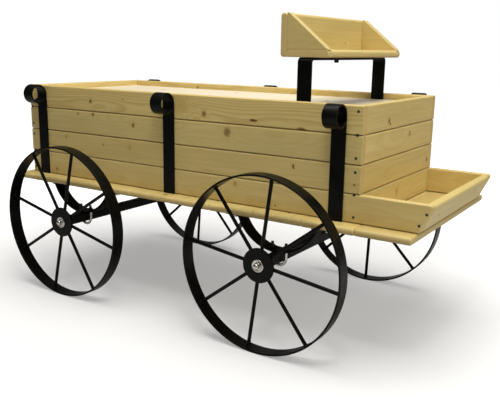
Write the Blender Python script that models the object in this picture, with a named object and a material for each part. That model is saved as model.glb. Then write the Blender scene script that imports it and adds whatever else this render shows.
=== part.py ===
"""A buckboard-style garden cart: a board-sided bed, a footboard tray, a bench seat and four spoked wheels.

The wheels hang on bow springs. Metres, +Z up, +X towards the front, +Y to the cart's left.
The origin is on the ground under the middle of the cart's overall length and width.
"""

from math import acos, cos, pi, radians, sin, sqrt, tan

import bmesh
import bpy
from mathutils import Matrix, Vector

# Clearances
GAP = 0.0003  # between pieces that touch
RUNNING_GAP = 0.0001  # between a spindle and the hub that turns on it
HOLE_GAP = 0.0006  # round a bolt leg in its hole

# Stock
BOARD_THICKNESS = 0.01905
BAR_WIDTH = 0.0381
STRAP_THICKNESS = 0.0048
SPRING_THICKNESS = 0.0064
BRACKET_THICKNESS = 0.0064
BOARD_EASE = 0.002  # rounding along a board's edges

# Bed
BED_LENGTH = 1.156
BED_WIDTH = 0.499
WALL_HEIGHT = 0.2794
WALL_BOARDS = 4
DECK_BELOW_RIM = 0.019
DECK_THICKNESS = 0.012

# Floor
FLOOR_BOARD_WIDTH = 0.1397
FLOOR_BOARDS_MOST = 9
FLOOR_SIDE_OVERHANG = 0.045
FLOOR_REAR_OVERHANG = 0.019
FLOOR_EDGE_RADIUS = 0.0085

# Footboard tray
TRAY_LENGTH = 0.1475
TRAY_FLARE = radians(25)
TRAY_LIP_RADIUS = 0.006

# Wheels and axles
WHEEL_DIAMETER = 0.4572
HOOP_WIDTH = 0.0385
HOOP_THICKNESS = 0.0048
SPOKES = 8
SPOKE_DIAMETER = 0.0095
HUB_DISC_DIAMETER = 0.089
HUB_DISC_THICKNESS = 0.005
HUB_DISC_BITE = 0.0006  # how far the disc is welded over the spokes
BARREL_DIAMETER = 0.042
BARREL_INNER_LENGTH = 0.022  # from the middle of the wheel inwards
SPOKE_ROOT = 0.003  # how deep a spoke is let into the barrel
TRACK = 0.684
WHEELBASE = 0.7055
FRONT_AXLE_SETBACK = 0.2145  # from the bed's front face
AXLE_SIZE = 0.0254
AXLE_END_PLAY = 0.0015
SPINDLE_DIAMETER = 0.0127
SPINDLE_PAST_HUB = 0.008
CAP_FLANGE_DIAMETER = 0.033
CAP_FLANGE_THICKNESS = 0.002
CAP_WALL = 0.0016
CAP_HEIGHT = 0.014

# Springs and their clamps
SPRING_HEIGHT = 0.0857
SPRING_RADIUS = 0.1238
SPRING_FOOT_RADIUS = 0.0092
SPRING_FOOT_LENGTH = 0.034
SPRING_SPREAD = 0.500  # between the middles of the left and right springs
CLAMP_ROD = 0.008
CLAMP_SIDE_GAP = 0.0038
CLAMP_CORNER_GAP = 0.0006
CLAMP_STUD = 0.017  # above the spring

# Stake straps
STRAP_END_INSET = 0.060
LOOP_DIAMETER = 0.058
LOOP_RISE = 0.003  # above the rim

# Seat
SEAT_LENGTH = 0.133
SEAT_WIDTH = 0.456
SEAT_ABOVE_RIM = 0.104  # from the rim to the underside of the plank
SEAT_BACK_HEIGHT = 0.105
SEAT_TIP = 0.007
SEAT_FRONT_SETBACK = 0.1075  # from the bed's front face
SEAT_EDGE_RADIUS = 0.005
POST_SETBACK = 0.170  # from the bed's front face to the middle of the posts
BRACKET_BEND = 0.0092
BRACKET_BELOW_RIM = 0.150

# Smoothness of round pieces
HOOP_SEGMENTS = 64
ROUND_SEGMENTS = 24
ROD_SEGMENTS = 12
ARC_STEP = radians(15)

# Levels, from the ground up
AXLE_Z = WHEEL_DIAMETER / 2
SPRING_Z = AXLE_Z + AXLE_SIZE / 2 + GAP
FLOOR_BOTTOM = SPRING_Z + SPRING_HEIGHT + GAP
FLOOR_TOP = FLOOR_BOTTOM + BOARD_THICKNESS
RIM_Z = FLOOR_TOP + WALL_HEIGHT
BOARD_PITCH = WALL_HEIGHT / WALL_BOARDS
TRAY_Z = FLOOR_TOP + BOARD_PITCH
DECK_Z = RIM_Z - DECK_BELOW_RIM
SEAT_Z = RIM_Z + SEAT_ABOVE_RIM

# Places along the cart, with the whole length centred on the origin
TRAY_LEAN = (BOARD_PITCH - GAP) * tan(TRAY_FLARE)
LIP_LOSS = TRAY_LIP_RADIUS * (tan(TRAY_FLARE) + 1 / cos(TRAY_FLARE) - 1)
OVERALL_LENGTH = FLOOR_REAR_OVERHANG + BED_LENGTH + TRAY_LENGTH + TRAY_LEAN - LIP_LOSS
FLOOR_REAR = -OVERALL_LENGTH / 2
BED_REAR = FLOOR_REAR + FLOOR_REAR_OVERHANG
BED_FRONT = BED_REAR + BED_LENGTH
TRAY_FOOT = BED_FRONT + TRAY_LENGTH
TRAY_LIP = TRAY_FOOT + TRAY_LEAN
FRONT_AXLE_X = BED_FRONT - FRONT_AXLE_SETBACK
REAR_AXLE_X = FRONT_AXLE_X - WHEELBASE
POST_X = BED_FRONT - POST_SETBACK

# Places across the cart
WALL_OUT = BED_WIDTH / 2
WALL_IN = WALL_OUT - BOARD_THICKNESS
FLOOR_SIDE = WALL_OUT + FLOOR_SIDE_OVERHANG
POST_OUT = WALL_IN - GAP
BARREL_IN = TRACK / 2 - BARREL_INNER_LENGTH
DISC_IN = TRACK / 2 + SPOKE_DIAMETER / 2 - HUB_DISC_BITE
DISC_OUT = DISC_IN + HUB_DISC_THICKNESS

SIDES = {"left": 1, "right": -1}
AXLES = {"front": FRONT_AXLE_X, "rear": REAR_AXLE_X}
# Degrees from straight ahead to each wheel's first spoke as the cart stands
SPOKE_TURN = {
    ("front", "left"): -1.8,
    ("front", "right"): -7.6,
    ("rear", "left"): -3.8,
    ("rear", "right"): -13.1,
}


def clear_scene():
    for old in list(bpy.data.objects):
        bpy.data.objects.remove(old, do_unlink=True)


def finish(name, colour, roughness, metallic=0.0):
    material = bpy.data.materials.new(name)
    material.use_nodes = True
    shader = material.node_tree.nodes["Principled BSDF"]
    shader.inputs["Base Color"].default_value = (*colour, 1.0)
    shader.inputs["Roughness"].default_value = roughness
    shader.inputs["Metallic"].default_value = metallic
    return material


def mesh_from(bm, name):
    bmesh.ops.recalc_face_normals(bm, faces=bm.faces)
    mesh = bpy.data.meshes.new(name)
    bm.to_mesh(mesh)
    bm.free()
    return mesh


def smooth(mesh, angle=radians(35)):
    mesh.shade_smooth()
    mesh.set_sharp_from_angle(angle=angle)
    return mesh


def add(name, mesh, material, parent=None, location=(0, 0, 0)):
    piece = bpy.data.objects.new(name, mesh)
    bpy.context.collection.objects.link(piece)
    piece.location = location
    piece.parent = parent
    piece.data.materials.clear()
    piece.data.materials.append(material)
    return piece


def empty(name, parent=None, location=(0, 0, 0)):
    point = bpy.data.objects.new(name, None)
    bpy.context.collection.objects.link(point)
    point.location = location
    point.parent = parent
    return point


def arc(centre, radius, start, end, steps):
    """Points on an arc in a plane, from one angle to another, both included."""
    turn = (end - start) / steps
    return [
        (centre[0] + radius * cos(start + turn * i), centre[1] + radius * sin(start + turn * i))
        for i in range(steps + 1)
    ]


def rounded_box(left, low, right, high, radii, steps=3):
    """A rectangle whose corners are rounded: radii run from bottom left, counterclockwise."""
    corners = [
        (left, low, 1, 1, pi),
        (right, low, -1, 1, 1.5 * pi),
        (right, high, -1, -1, 0),
        (left, high, 1, -1, 0.5 * pi),
    ]
    outline = []
    for (x, y, to_x, to_y, start), radius in zip(corners, radii):
        if radius:
            outline += arc((x + to_x * radius, y + to_y * radius), radius, start, start + pi / 2, steps)
        else:
            outline.append((x, y))
    return outline


def placed(plane, u, v, w):
    """A point from its two places in a plane and its place across it."""
    return {"XZ": (u, w, v), "YZ": (w, u, v), "XY": (u, v, w)}[plane]


def slab(name, plane, outline, start, end, ease=BOARD_EASE):
    """A flat piece of the given outline, from start to end across its plane, with eased edges."""
    bm = bmesh.new()
    face = bm.faces.new([bm.verts.new(placed(plane, u, v, start)) for u, v in outline])
    grown = bmesh.ops.extrude_face_region(bm, geom=[face])
    across = Vector(placed(plane, 0, 0, end - start))
    bmesh.ops.translate(bm, verts=[g for g in grown["geom"] if isinstance(g, bmesh.types.BMVert)], vec=across)
    if ease:
        near = Vector(placed(plane, 0, 0, 1))
        flat = [e for e in bm.edges if abs((e.verts[0].co - e.verts[1].co).dot(near)) < GAP / 10]
        bmesh.ops.bevel(
            bm, geom=flat, offset=ease, offset_type="OFFSET", affect="EDGES", segments=1, profile=0.5,
            material=-1,
        )
    return mesh_from(bm, name)


def route(point, heading, runs):
    """Stations (point, left-hand normal) along straight runs and bends; a positive bend turns left."""
    x, y = point
    stations = [((x, y), (-sin(heading), cos(heading)))]
    for run in runs:
        if run[0] == "straight":
            x, y = x + run[1] * cos(heading), y + run[1] * sin(heading)
            stations.append(((x, y), (-sin(heading), cos(heading))))
            continue
        radius, bend = run[1:]
        steps = max(2, round(abs(bend) / ARC_STEP))
        side = 1 if bend > 0 else -1
        centre = (x - side * radius * sin(heading), y + side * radius * cos(heading))
        for _ in range(steps):
            heading += bend / steps
            x, y = centre[0] + side * radius * sin(heading), centre[1] - side * radius * cos(heading)
            stations.append(((x, y), (-sin(heading), cos(heading))))
    return stations


def bent_bar(name, plane, stations, thickness, start, end):
    """Flat bar that follows the stations in a plane, from start to end across it."""
    bm = bmesh.new()
    rows = []
    for (u, v), (normal_u, normal_v) in stations:
        half_u, half_v = normal_u * thickness / 2, normal_v * thickness / 2
        rows.append([
            bm.verts.new(placed(plane, u + half_u, v + half_v, start)),
            bm.verts.new(placed(plane, u - half_u, v - half_v, start)),
        ])
    faces = [bm.faces.new([a[0], b[0], b[1], a[1]]) for a, b in zip(rows, rows[1:])]
    grown = bmesh.ops.extrude_face_region(bm, geom=faces)
    across = Vector(placed(plane, 0, 0, end - start))
    bmesh.ops.translate(bm, verts=[g for g in grown["geom"] if isinstance(g, bmesh.types.BMVert)], vec=across)
    return smooth(mesh_from(bm, name))


def turned(name, profile, segments, outward=1):
    """A piece turned about Y from a closed profile of (radius, distance outwards)."""
    bm = bmesh.new()
    ring = [bm.verts.new((radius, outward * along, 0)) for radius, along in profile]
    edges = [bm.edges.new(pair) for pair in zip(ring, ring[1:] + ring[:1])]
    bmesh.ops.spin(
        bm, geom=ring + edges, cent=(0, 0, 0), axis=(0, 1, 0), angle=2 * pi, steps=segments, use_merge=True
    )
    bmesh.ops.remove_doubles(bm, verts=bm.verts, dist=1e-6)
    return smooth(mesh_from(bm, name))


def rod(bm, start, end, radius, segments=ROD_SEGMENTS):
    """A straight round rod added to a mesh."""
    start, end = Vector(start), Vector(end)
    along = end - start
    turn = along.to_track_quat("Z", "Y").to_matrix().to_4x4()
    bmesh.ops.create_cone(
        bm,
        cap_ends=True,
        segments=segments,
        radius1=radius,
        radius2=radius,
        depth=along.length,
        matrix=Matrix.Translation((start + end) / 2) @ turn,
    )


def combined(mesh, other, operation):
    """A new mesh: the first joined with the other, or cut by it."""
    body = bpy.data.objects.new("body", mesh)
    tool = bpy.data.objects.new("tool", other)
    for piece in (body, tool):
        bpy.context.collection.objects.link(piece)
    boolean = body.modifiers.new(operation, "BOOLEAN")
    boolean.operation = operation
    boolean.solver = "EXACT"
    boolean.object = tool
    bpy.context.view_layer.update()
    made = bpy.data.meshes.new_from_object(body.evaluated_get(bpy.context.evaluated_depsgraph_get()))
    made.name = mesh.name
    for piece in (body, tool):
        bpy.data.objects.remove(piece, do_unlink=True)
    return made


# ---- bed -------------------------------------------------------------------


def board_levels(row):
    """Bottom and top of a wall board, counted from the rim down."""
    top = RIM_Z - row * BOARD_PITCH
    return top - BOARD_PITCH + GAP, top


def tray_side_outline(low, high):
    """A bottom side board: it runs on past the bed as the tray's side, and its front edge leans out."""
    lip_z = high - TRAY_LIP_RADIUS
    lip_x = TRAY_LIP - LIP_LOSS - TRAY_LIP_RADIUS
    return [
        (BED_REAR, low),
        (TRAY_LIP - (high - low) * tan(TRAY_FLARE), low),
        *arc((lip_x, lip_z), TRAY_LIP_RADIUS, -TRAY_FLARE, pi / 2, 4),
        (BED_REAR, high),
    ]


def build_walls(pine, parent):
    for side, sign in SIDES.items():
        for row in range(WALL_BOARDS):
            low, high = board_levels(row)
            if row == WALL_BOARDS - 1:
                outline = tray_side_outline(low, high)
            else:
                outline = rounded_box(BED_REAR, low, BED_FRONT, high, (0, 0, 0, 0))
            mesh = slab("side_board", "XZ", outline, sign * WALL_IN, sign * WALL_OUT)
            add(f"{side}_side_board_{row + 1}", mesh, pine, parent)
    half = WALL_IN - GAP
    ends = {"front": (BED_FRONT - BOARD_THICKNESS, BED_FRONT), "rear": (BED_REAR, BED_REAR + BOARD_THICKNESS)}
    for end, (back, face) in ends.items():
        for row in range(WALL_BOARDS):
            low, high = board_levels(row)
            mesh = slab("end_board", "YZ", rounded_box(-half, low, half, high, (0, 0, 0, 0)), back, face)
            add(f"{end}_wall_board_{row + 1}", mesh, pine, parent)


def floor_spans():
    """Front and rear edges of the floor boards: wider on a longer bed, the rearmost sawn to finish."""
    pitch = max(FLOOR_BOARD_WIDTH + GAP, (TRAY_FOOT - FLOOR_REAR) / (FLOOR_BOARDS_MOST + 0.45))
    count = int((TRAY_FOOT - FLOOR_REAR) / pitch)
    fronts = [TRAY_FOOT - i * pitch for i in range(count)]
    rears = [front + GAP - pitch for front in fronts[:-1]] + [FLOOR_REAR]
    return list(zip(rears, fronts))


def build_floor(pine, parent):
    round_end = (FLOOR_EDGE_RADIUS,) * 4
    outline = rounded_box(-FLOOR_SIDE, FLOOR_BOTTOM, FLOOR_SIDE, FLOOR_TOP - GAP, round_end, 4)
    for number, (rear, front) in enumerate(floor_spans(), 1):
        add(f"floor_board_{number}", slab("floor_board", "YZ", outline, rear, front), pine, parent)


def build_tray_front(pine, parent):
    """The tray's leaning front board, held between the two side boards."""
    low, high = board_levels(WALL_BOARDS - 1)
    lean = tan(TRAY_FLARE)
    foot = TRAY_LIP - (high - low) * lean
    level = BOARD_THICKNESS / cos(TRAY_FLARE)
    lip_z = high - TRAY_LIP_RADIUS
    lip_x = TRAY_LIP - LIP_LOSS - TRAY_LIP_RADIUS
    outline = [
        (foot - level, low),
        (foot, low),
        *arc((lip_x, lip_z), TRAY_LIP_RADIUS, -TRAY_FLARE, pi / 2, 4),
        (TRAY_LIP - level, high),
    ]
    half = WALL_IN - GAP
    add("tray_front_board", slab("tray_front", "XZ", outline, -half, half), pine, parent)


def build_deck(panel, parent):
    """The display deck inside the rim, notched round the seat's two posts."""
    half = WALL_IN - GAP
    rear, front = BED_REAR + BOARD_THICKNESS + GAP, BED_FRONT - BOARD_THICKNESS - GAP
    notch_out, notch_in = POST_X - BAR_WIDTH / 2 - GAP, POST_X + BAR_WIDTH / 2 + GAP
    depth = half - BRACKET_THICKNESS - 2 * GAP
    outline = [
        (rear, -half), (notch_out, -half), (notch_out, -depth), (notch_in, -depth), (notch_in, -half),
        (front, -half), (front, half), (notch_in, half), (notch_in, depth), (notch_out, depth),
        (notch_out, half), (rear, half),
    ]
    mesh = slab("deck", "XY", outline, DECK_Z - DECK_THICKNESS, DECK_Z, ease=0)
    add("display_deck", mesh, panel, parent)


def build_straps(steel, parent):
    """Stake straps up the outside of the side boards, their tops rolled outwards into a loop."""
    middle = LOOP_DIAMETER / 2 - STRAP_THICKNESS / 2
    foot = FLOOR_TOP
    turn_z = RIM_Z + LOOP_RISE - LOOP_DIAMETER / 2
    share = (LOOP_DIAMETER / 2 - STRAP_THICKNESS - GAP) / (LOOP_DIAMETER / 2)
    closing = pi + pi / 2 + acos(sqrt(1 - share**2))
    inset = STRAP_END_INSET
    places = {"rear": BED_REAR + inset, "middle": (BED_REAR + BED_FRONT) / 2, "front": BED_FRONT - inset}
    for side, sign in SIDES.items():
        start = (sign * (WALL_OUT + GAP + STRAP_THICKNESS / 2), foot)
        runs = [("straight", turn_z - foot), ("bend", middle, -sign * closing)]
        stations = route(start, pi / 2, runs)
        for place, x in places.items():
            mesh = bent_bar("strap", "YZ", stations, STRAP_THICKNESS, x - BAR_WIDTH / 2, x + BAR_WIDTH / 2)
            add(f"{side}_{place}_stake_strap", mesh, steel, parent)


# ---- seat ------------------------------------------------------------------


def build_seat(pine, steel, parent):
    front = BED_FRONT - SEAT_FRONT_SETBACK
    back = front - SEAT_LENGTH
    inner = back + BOARD_THICKNESS + GAP
    plank_top = SEAT_Z + BOARD_THICKNESS
    back_top = SEAT_Z + SEAT_BACK_HEIGHT
    half = SEAT_WIDTH / 2
    edge = SEAT_EDGE_RADIUS

    outline = rounded_box(back, SEAT_Z, back + BOARD_THICKNESS, back_top, (edge, 0, edge, edge))
    add("seat_back", slab("seat_back", "XZ", outline, -half, half), pine, parent)
    outline = rounded_box(inner, SEAT_Z, front, plank_top, (0, FLOOR_EDGE_RADIUS, FLOOR_EDGE_RADIUS, 0))
    add("seat_plank", slab("seat_plank", "XZ", outline, -half, half), pine, parent)
    cheek_low = plank_top + GAP
    outline = [
        (inner, cheek_low), (front - GAP, cheek_low), (front - GAP, cheek_low + GAP),
        (inner + SEAT_TIP, back_top), (inner, back_top),
    ]
    for side, sign in SIDES.items():
        mesh = slab("seat_cheek", "XZ", outline, sign * (half - BOARD_THICKNESS), sign * half, ease=0)
        add(f"{side}_seat_cheek", mesh, pine, parent)

    low = RIM_Z - BRACKET_BELOW_RIM
    top = SEAT_Z - GAP - BRACKET_THICKNESS / 2
    post_y = POST_OUT - BRACKET_THICKNESS / 2
    runs = [
        ("straight", top - BRACKET_BEND - low), ("bend", BRACKET_BEND, -pi / 2),
        ("straight", 2 * (post_y - BRACKET_BEND)), ("bend", BRACKET_BEND, -pi / 2),
        ("straight", top - BRACKET_BEND - low),
    ]
    stations = route((-post_y, low), pi / 2, runs)
    rear, front = POST_X - BAR_WIDTH / 2, POST_X + BAR_WIDTH / 2
    mesh = bent_bar("bracket", "YZ", stations, BRACKET_THICKNESS, rear, front)
    add("seat_bracket", mesh, steel, parent)


# ---- running gear ------------------------------------------------------------


def spring_mesh():
    """A bowed spring on the axle, its two feet turned out under the floor, with holes for its clamp."""
    rise = SPRING_HEIGHT - SPRING_THICKNESS
    sweep = acos(1 - rise / (SPRING_RADIUS + SPRING_FOOT_RADIUS))
    half = [
        ("bend", SPRING_RADIUS, sweep),
        ("bend", SPRING_FOOT_RADIUS, -sweep),
        ("straight", SPRING_FOOT_LENGTH),
    ]
    right = route((0, SPRING_THICKNESS / 2), 0, half)
    left = [((-u, v), (-nu, nv)) for (u, v), (nu, nv) in reversed(right[1:])]
    mesh = bent_bar("spring", "XZ", left + right, SPRING_THICKNESS, -BAR_WIDTH / 2, BAR_WIDTH / 2)
    holes = bmesh.new()
    for sign in SIDES.values():
        x = sign * clamp_leg()
        rod(holes, (x, 0, -SPRING_THICKNESS), (x, 0, 3 * SPRING_THICKNESS), CLAMP_ROD / 2 + HOLE_GAP)
    return combined(mesh, mesh_from(holes, "holes"), "DIFFERENCE")


def clamp_leg():
    """How far a clamp's leg stands from the middle of the axle."""
    return AXLE_SIZE / 2 + CLAMP_SIDE_GAP + CLAMP_ROD / 2


def clamp_curve():
    """A round-bottomed U-bolt: up one side of the axle, and down the other."""
    bend = clamp_leg()
    inside = bend - CLAMP_ROD / 2 - CLAMP_CORNER_GAP
    bend_z = -AXLE_SIZE / 2 + sqrt(inside**2 - (AXLE_SIZE / 2) ** 2)
    top = AXLE_SIZE / 2 + GAP + SPRING_THICKNESS + CLAMP_STUD
    runs = [("straight", top - bend_z), ("bend", bend, pi), ("straight", top - bend_z)]
    stations = route((-bend, top), -pi / 2, runs)
    curve = bpy.data.curves.new("clamp", "CURVE")
    curve.dimensions = "3D"
    curve.bevel_depth = CLAMP_ROD / 2
    curve.bevel_resolution = 2
    curve.use_fill_caps = True
    spline = curve.splines.new("POLY")
    spline.points.add(len(stations) - 1)
    for point, ((u, v), _) in zip(spline.points, stations):
        point.co = (u, 0, v, 1)
    return curve


def axle_mesh():
    """A square axle bar with a round spindle turned on each end."""
    bm = bmesh.new()
    shoulder = BARREL_IN - AXLE_END_PLAY
    bmesh.ops.create_cube(bm, size=1, matrix=Matrix.Diagonal((AXLE_SIZE, 2 * shoulder, AXLE_SIZE, 1)))
    spindle = bmesh.new()
    tip = DISC_OUT + SPINDLE_PAST_HUB
    rod(spindle, (0, -tip, 0), (0, tip, 0), SPINDLE_DIAMETER / 2, ROUND_SEGMENTS)
    return combined(mesh_from(bm, "axle"), mesh_from(spindle, "spindle"), "UNION")


def hoop_mesh():
    outer, half = WHEEL_DIAMETER / 2, HOOP_WIDTH / 2
    inner = outer - HOOP_THICKNESS
    return turned("hoop", [(inner, -half), (outer, -half), (outer, half), (inner, half)], HOOP_SEGMENTS)


def spider_mesh(outward):
    """A hub barrel with its outer disc and all its spokes, welded into one."""
    bore = (SPINDLE_DIAMETER / 2 + RUNNING_GAP) / cos(pi / ROUND_SEGMENTS)
    barrel, disc = BARREL_DIAMETER / 2, HUB_DISC_DIAMETER / 2
    middle = TRACK / 2
    near, step, far = BARREL_IN - middle, DISC_IN - middle, DISC_OUT - middle
    profile = [(bore, near), (barrel, near), (barrel, step), (disc, step), (disc, far), (bore, far)]
    hub = turned("spider", profile, ROUND_SEGMENTS, outward)
    spokes = bmesh.new()
    rim = (WHEEL_DIAMETER / 2 - HOOP_THICKNESS) * cos(pi / HOOP_SEGMENTS) - GAP
    for i in range(SPOKES):
        angle = 2 * pi * i / SPOKES
        direction = Vector((cos(angle), 0, sin(angle)))
        rod(spokes, direction * (barrel - SPOKE_ROOT), direction * rim, SPOKE_DIAMETER / 2)
    return smooth(combined(hub, mesh_from(spokes, "spokes"), "UNION"))


def cap_mesh(outward):
    """The domed cap with a flange that keeps a wheel on its spindle."""
    inside = SPINDLE_DIAMETER / 2 + GAP
    dome = inside + CAP_WALL
    crown = CAP_HEIGHT - dome
    profile = [
        (inside, 0), (CAP_FLANGE_DIAMETER / 2, 0), (CAP_FLANGE_DIAMETER / 2, CAP_FLANGE_THICKNESS),
        (dome, CAP_FLANGE_THICKNESS), *arc((0, crown), dome, 0, pi / 2, 4),
        (0, CAP_HEIGHT - CAP_WALL), (inside, CAP_HEIGHT - CAP_WALL - inside / 2),
    ]
    return turned("cap", profile, ROUND_SEGMENTS, outward)


def build_running_gear(steel, spring_steel, zinc, parent):
    spring, clamp, axle, hoop = spring_mesh(), clamp_curve(), axle_mesh(), hoop_mesh()
    for end, x in AXLES.items():
        add(f"{end}_axle", axle, steel, parent, (x, 0, AXLE_Z))
        for side, sign in SIDES.items():
            place = f"{end}_{side}"
            spring_y = sign * SPRING_SPREAD / 2
            add(f"{place}_spring", spring, spring_steel, parent, (x, spring_y, SPRING_Z))
            add(f"{place}_axle_clamp", clamp, zinc, parent, (x, spring_y, AXLE_Z))
            cap_y = sign * (DISC_OUT + GAP)
            add(f"{place}_axle_cap", cap_mesh(sign), zinc, parent, (x, cap_y, AXLE_Z))
            wheel = empty(f"{place}_wheel", parent, (x, sign * TRACK / 2, AXLE_Z))
            add(f"{place}_wheel_hoop", hoop, steel, wheel)
            spider = add(f"{place}_wheel_spider", spider_mesh(sign), steel, wheel)
            spider.rotation_euler = (0, -radians(SPOKE_TURN[end, side]), 0)


def main():
    clear_scene()
    pine = finish("pine", (0.72, 0.56, 0.32), 0.55)
    panel = finish("panel", (0.82, 0.72, 0.52), 0.6)
    steel = finish("black_steel", (0.02, 0.02, 0.022), 0.4, 0.3)
    spring_steel = finish("spring_steel", (0.025, 0.025, 0.026), 0.45, 0.3)
    zinc = finish("zinc", (0.62, 0.62, 0.6), 0.35, 1.0)
    cart = empty("cart")
    build_floor(pine, cart)
    build_walls(pine, cart)
    build_tray_front(pine, cart)
    build_deck(panel, cart)
    build_straps(steel, cart)
    build_seat(pine, steel, cart)
    build_running_gear(steel, spring_steel, zinc, cart)


main()
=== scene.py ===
"""A buckboard-style garden cart of planed pine boards on a black steel running gear, standing in a small studio.

Each sub-assembly is a class: its sizes are its fields, and its build method makes the pieces and dresses them.
Every length is in metres. +X is the cart's front, +Y its left side and +Z up.
"""

from __future__ import annotations

import logging
import math
import random
from dataclasses import dataclass, field
from enum import Enum

import bmesh
import bpy
from mathutils import Matrix, Vector

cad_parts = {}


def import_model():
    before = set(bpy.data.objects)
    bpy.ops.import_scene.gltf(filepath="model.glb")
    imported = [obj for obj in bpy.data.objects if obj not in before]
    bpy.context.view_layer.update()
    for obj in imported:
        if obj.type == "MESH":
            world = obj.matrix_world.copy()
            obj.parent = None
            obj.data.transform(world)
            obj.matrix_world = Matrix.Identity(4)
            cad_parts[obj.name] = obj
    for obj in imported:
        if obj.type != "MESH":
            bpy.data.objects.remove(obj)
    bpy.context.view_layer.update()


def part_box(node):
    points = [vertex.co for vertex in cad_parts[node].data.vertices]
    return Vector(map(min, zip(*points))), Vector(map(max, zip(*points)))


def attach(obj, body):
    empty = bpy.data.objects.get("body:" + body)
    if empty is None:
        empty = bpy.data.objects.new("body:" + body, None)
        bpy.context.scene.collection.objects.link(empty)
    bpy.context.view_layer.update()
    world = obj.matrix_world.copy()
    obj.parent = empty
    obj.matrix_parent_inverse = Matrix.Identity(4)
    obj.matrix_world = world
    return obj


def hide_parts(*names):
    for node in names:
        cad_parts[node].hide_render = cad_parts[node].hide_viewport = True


LOG = logging.getLogger("garden_cart")
CART = "cart"
SHARP = math.radians(48)  # edges that turn by more than this shade as edges
SAME = 1e-5  # places closer than this count as one
WELD = 2e-6  # vertices closer than this are merged
FLUSH = 0.0002  # how far a sunk screw head stands out of its board
UP = Vector((0, 0, 1))
DOWN = Vector((0, 0, -1))
FLOAT = "NodeSocketFloat"

Colour = tuple[float, float, float]


class Side(Enum):
    """The two long sides of the cart, with the way each one faces along Y."""

    LEFT = 1
    RIGHT = -1

    @property
    def word(self) -> str:
        """The side's name as the node names spell it."""
        return self.name.lower()


class End(Enum):
    """The two ends of the cart."""

    FRONT = "front"
    REAR = "rear"


class Lay(Enum):
    """How a board lies: which world axes run along it, across its face and through its thickness."""

    ALONG_SIDE = (0, 2, 1)
    ACROSS_END = (1, 2, 0)
    ACROSS_FLOOR = (1, 0, 2)
    ALONG_DECK = (0, 1, 2)


# ---------------------------------------------------------------------------------------------------------------------
# Shader building
# ---------------------------------------------------------------------------------------------------------------------


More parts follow.
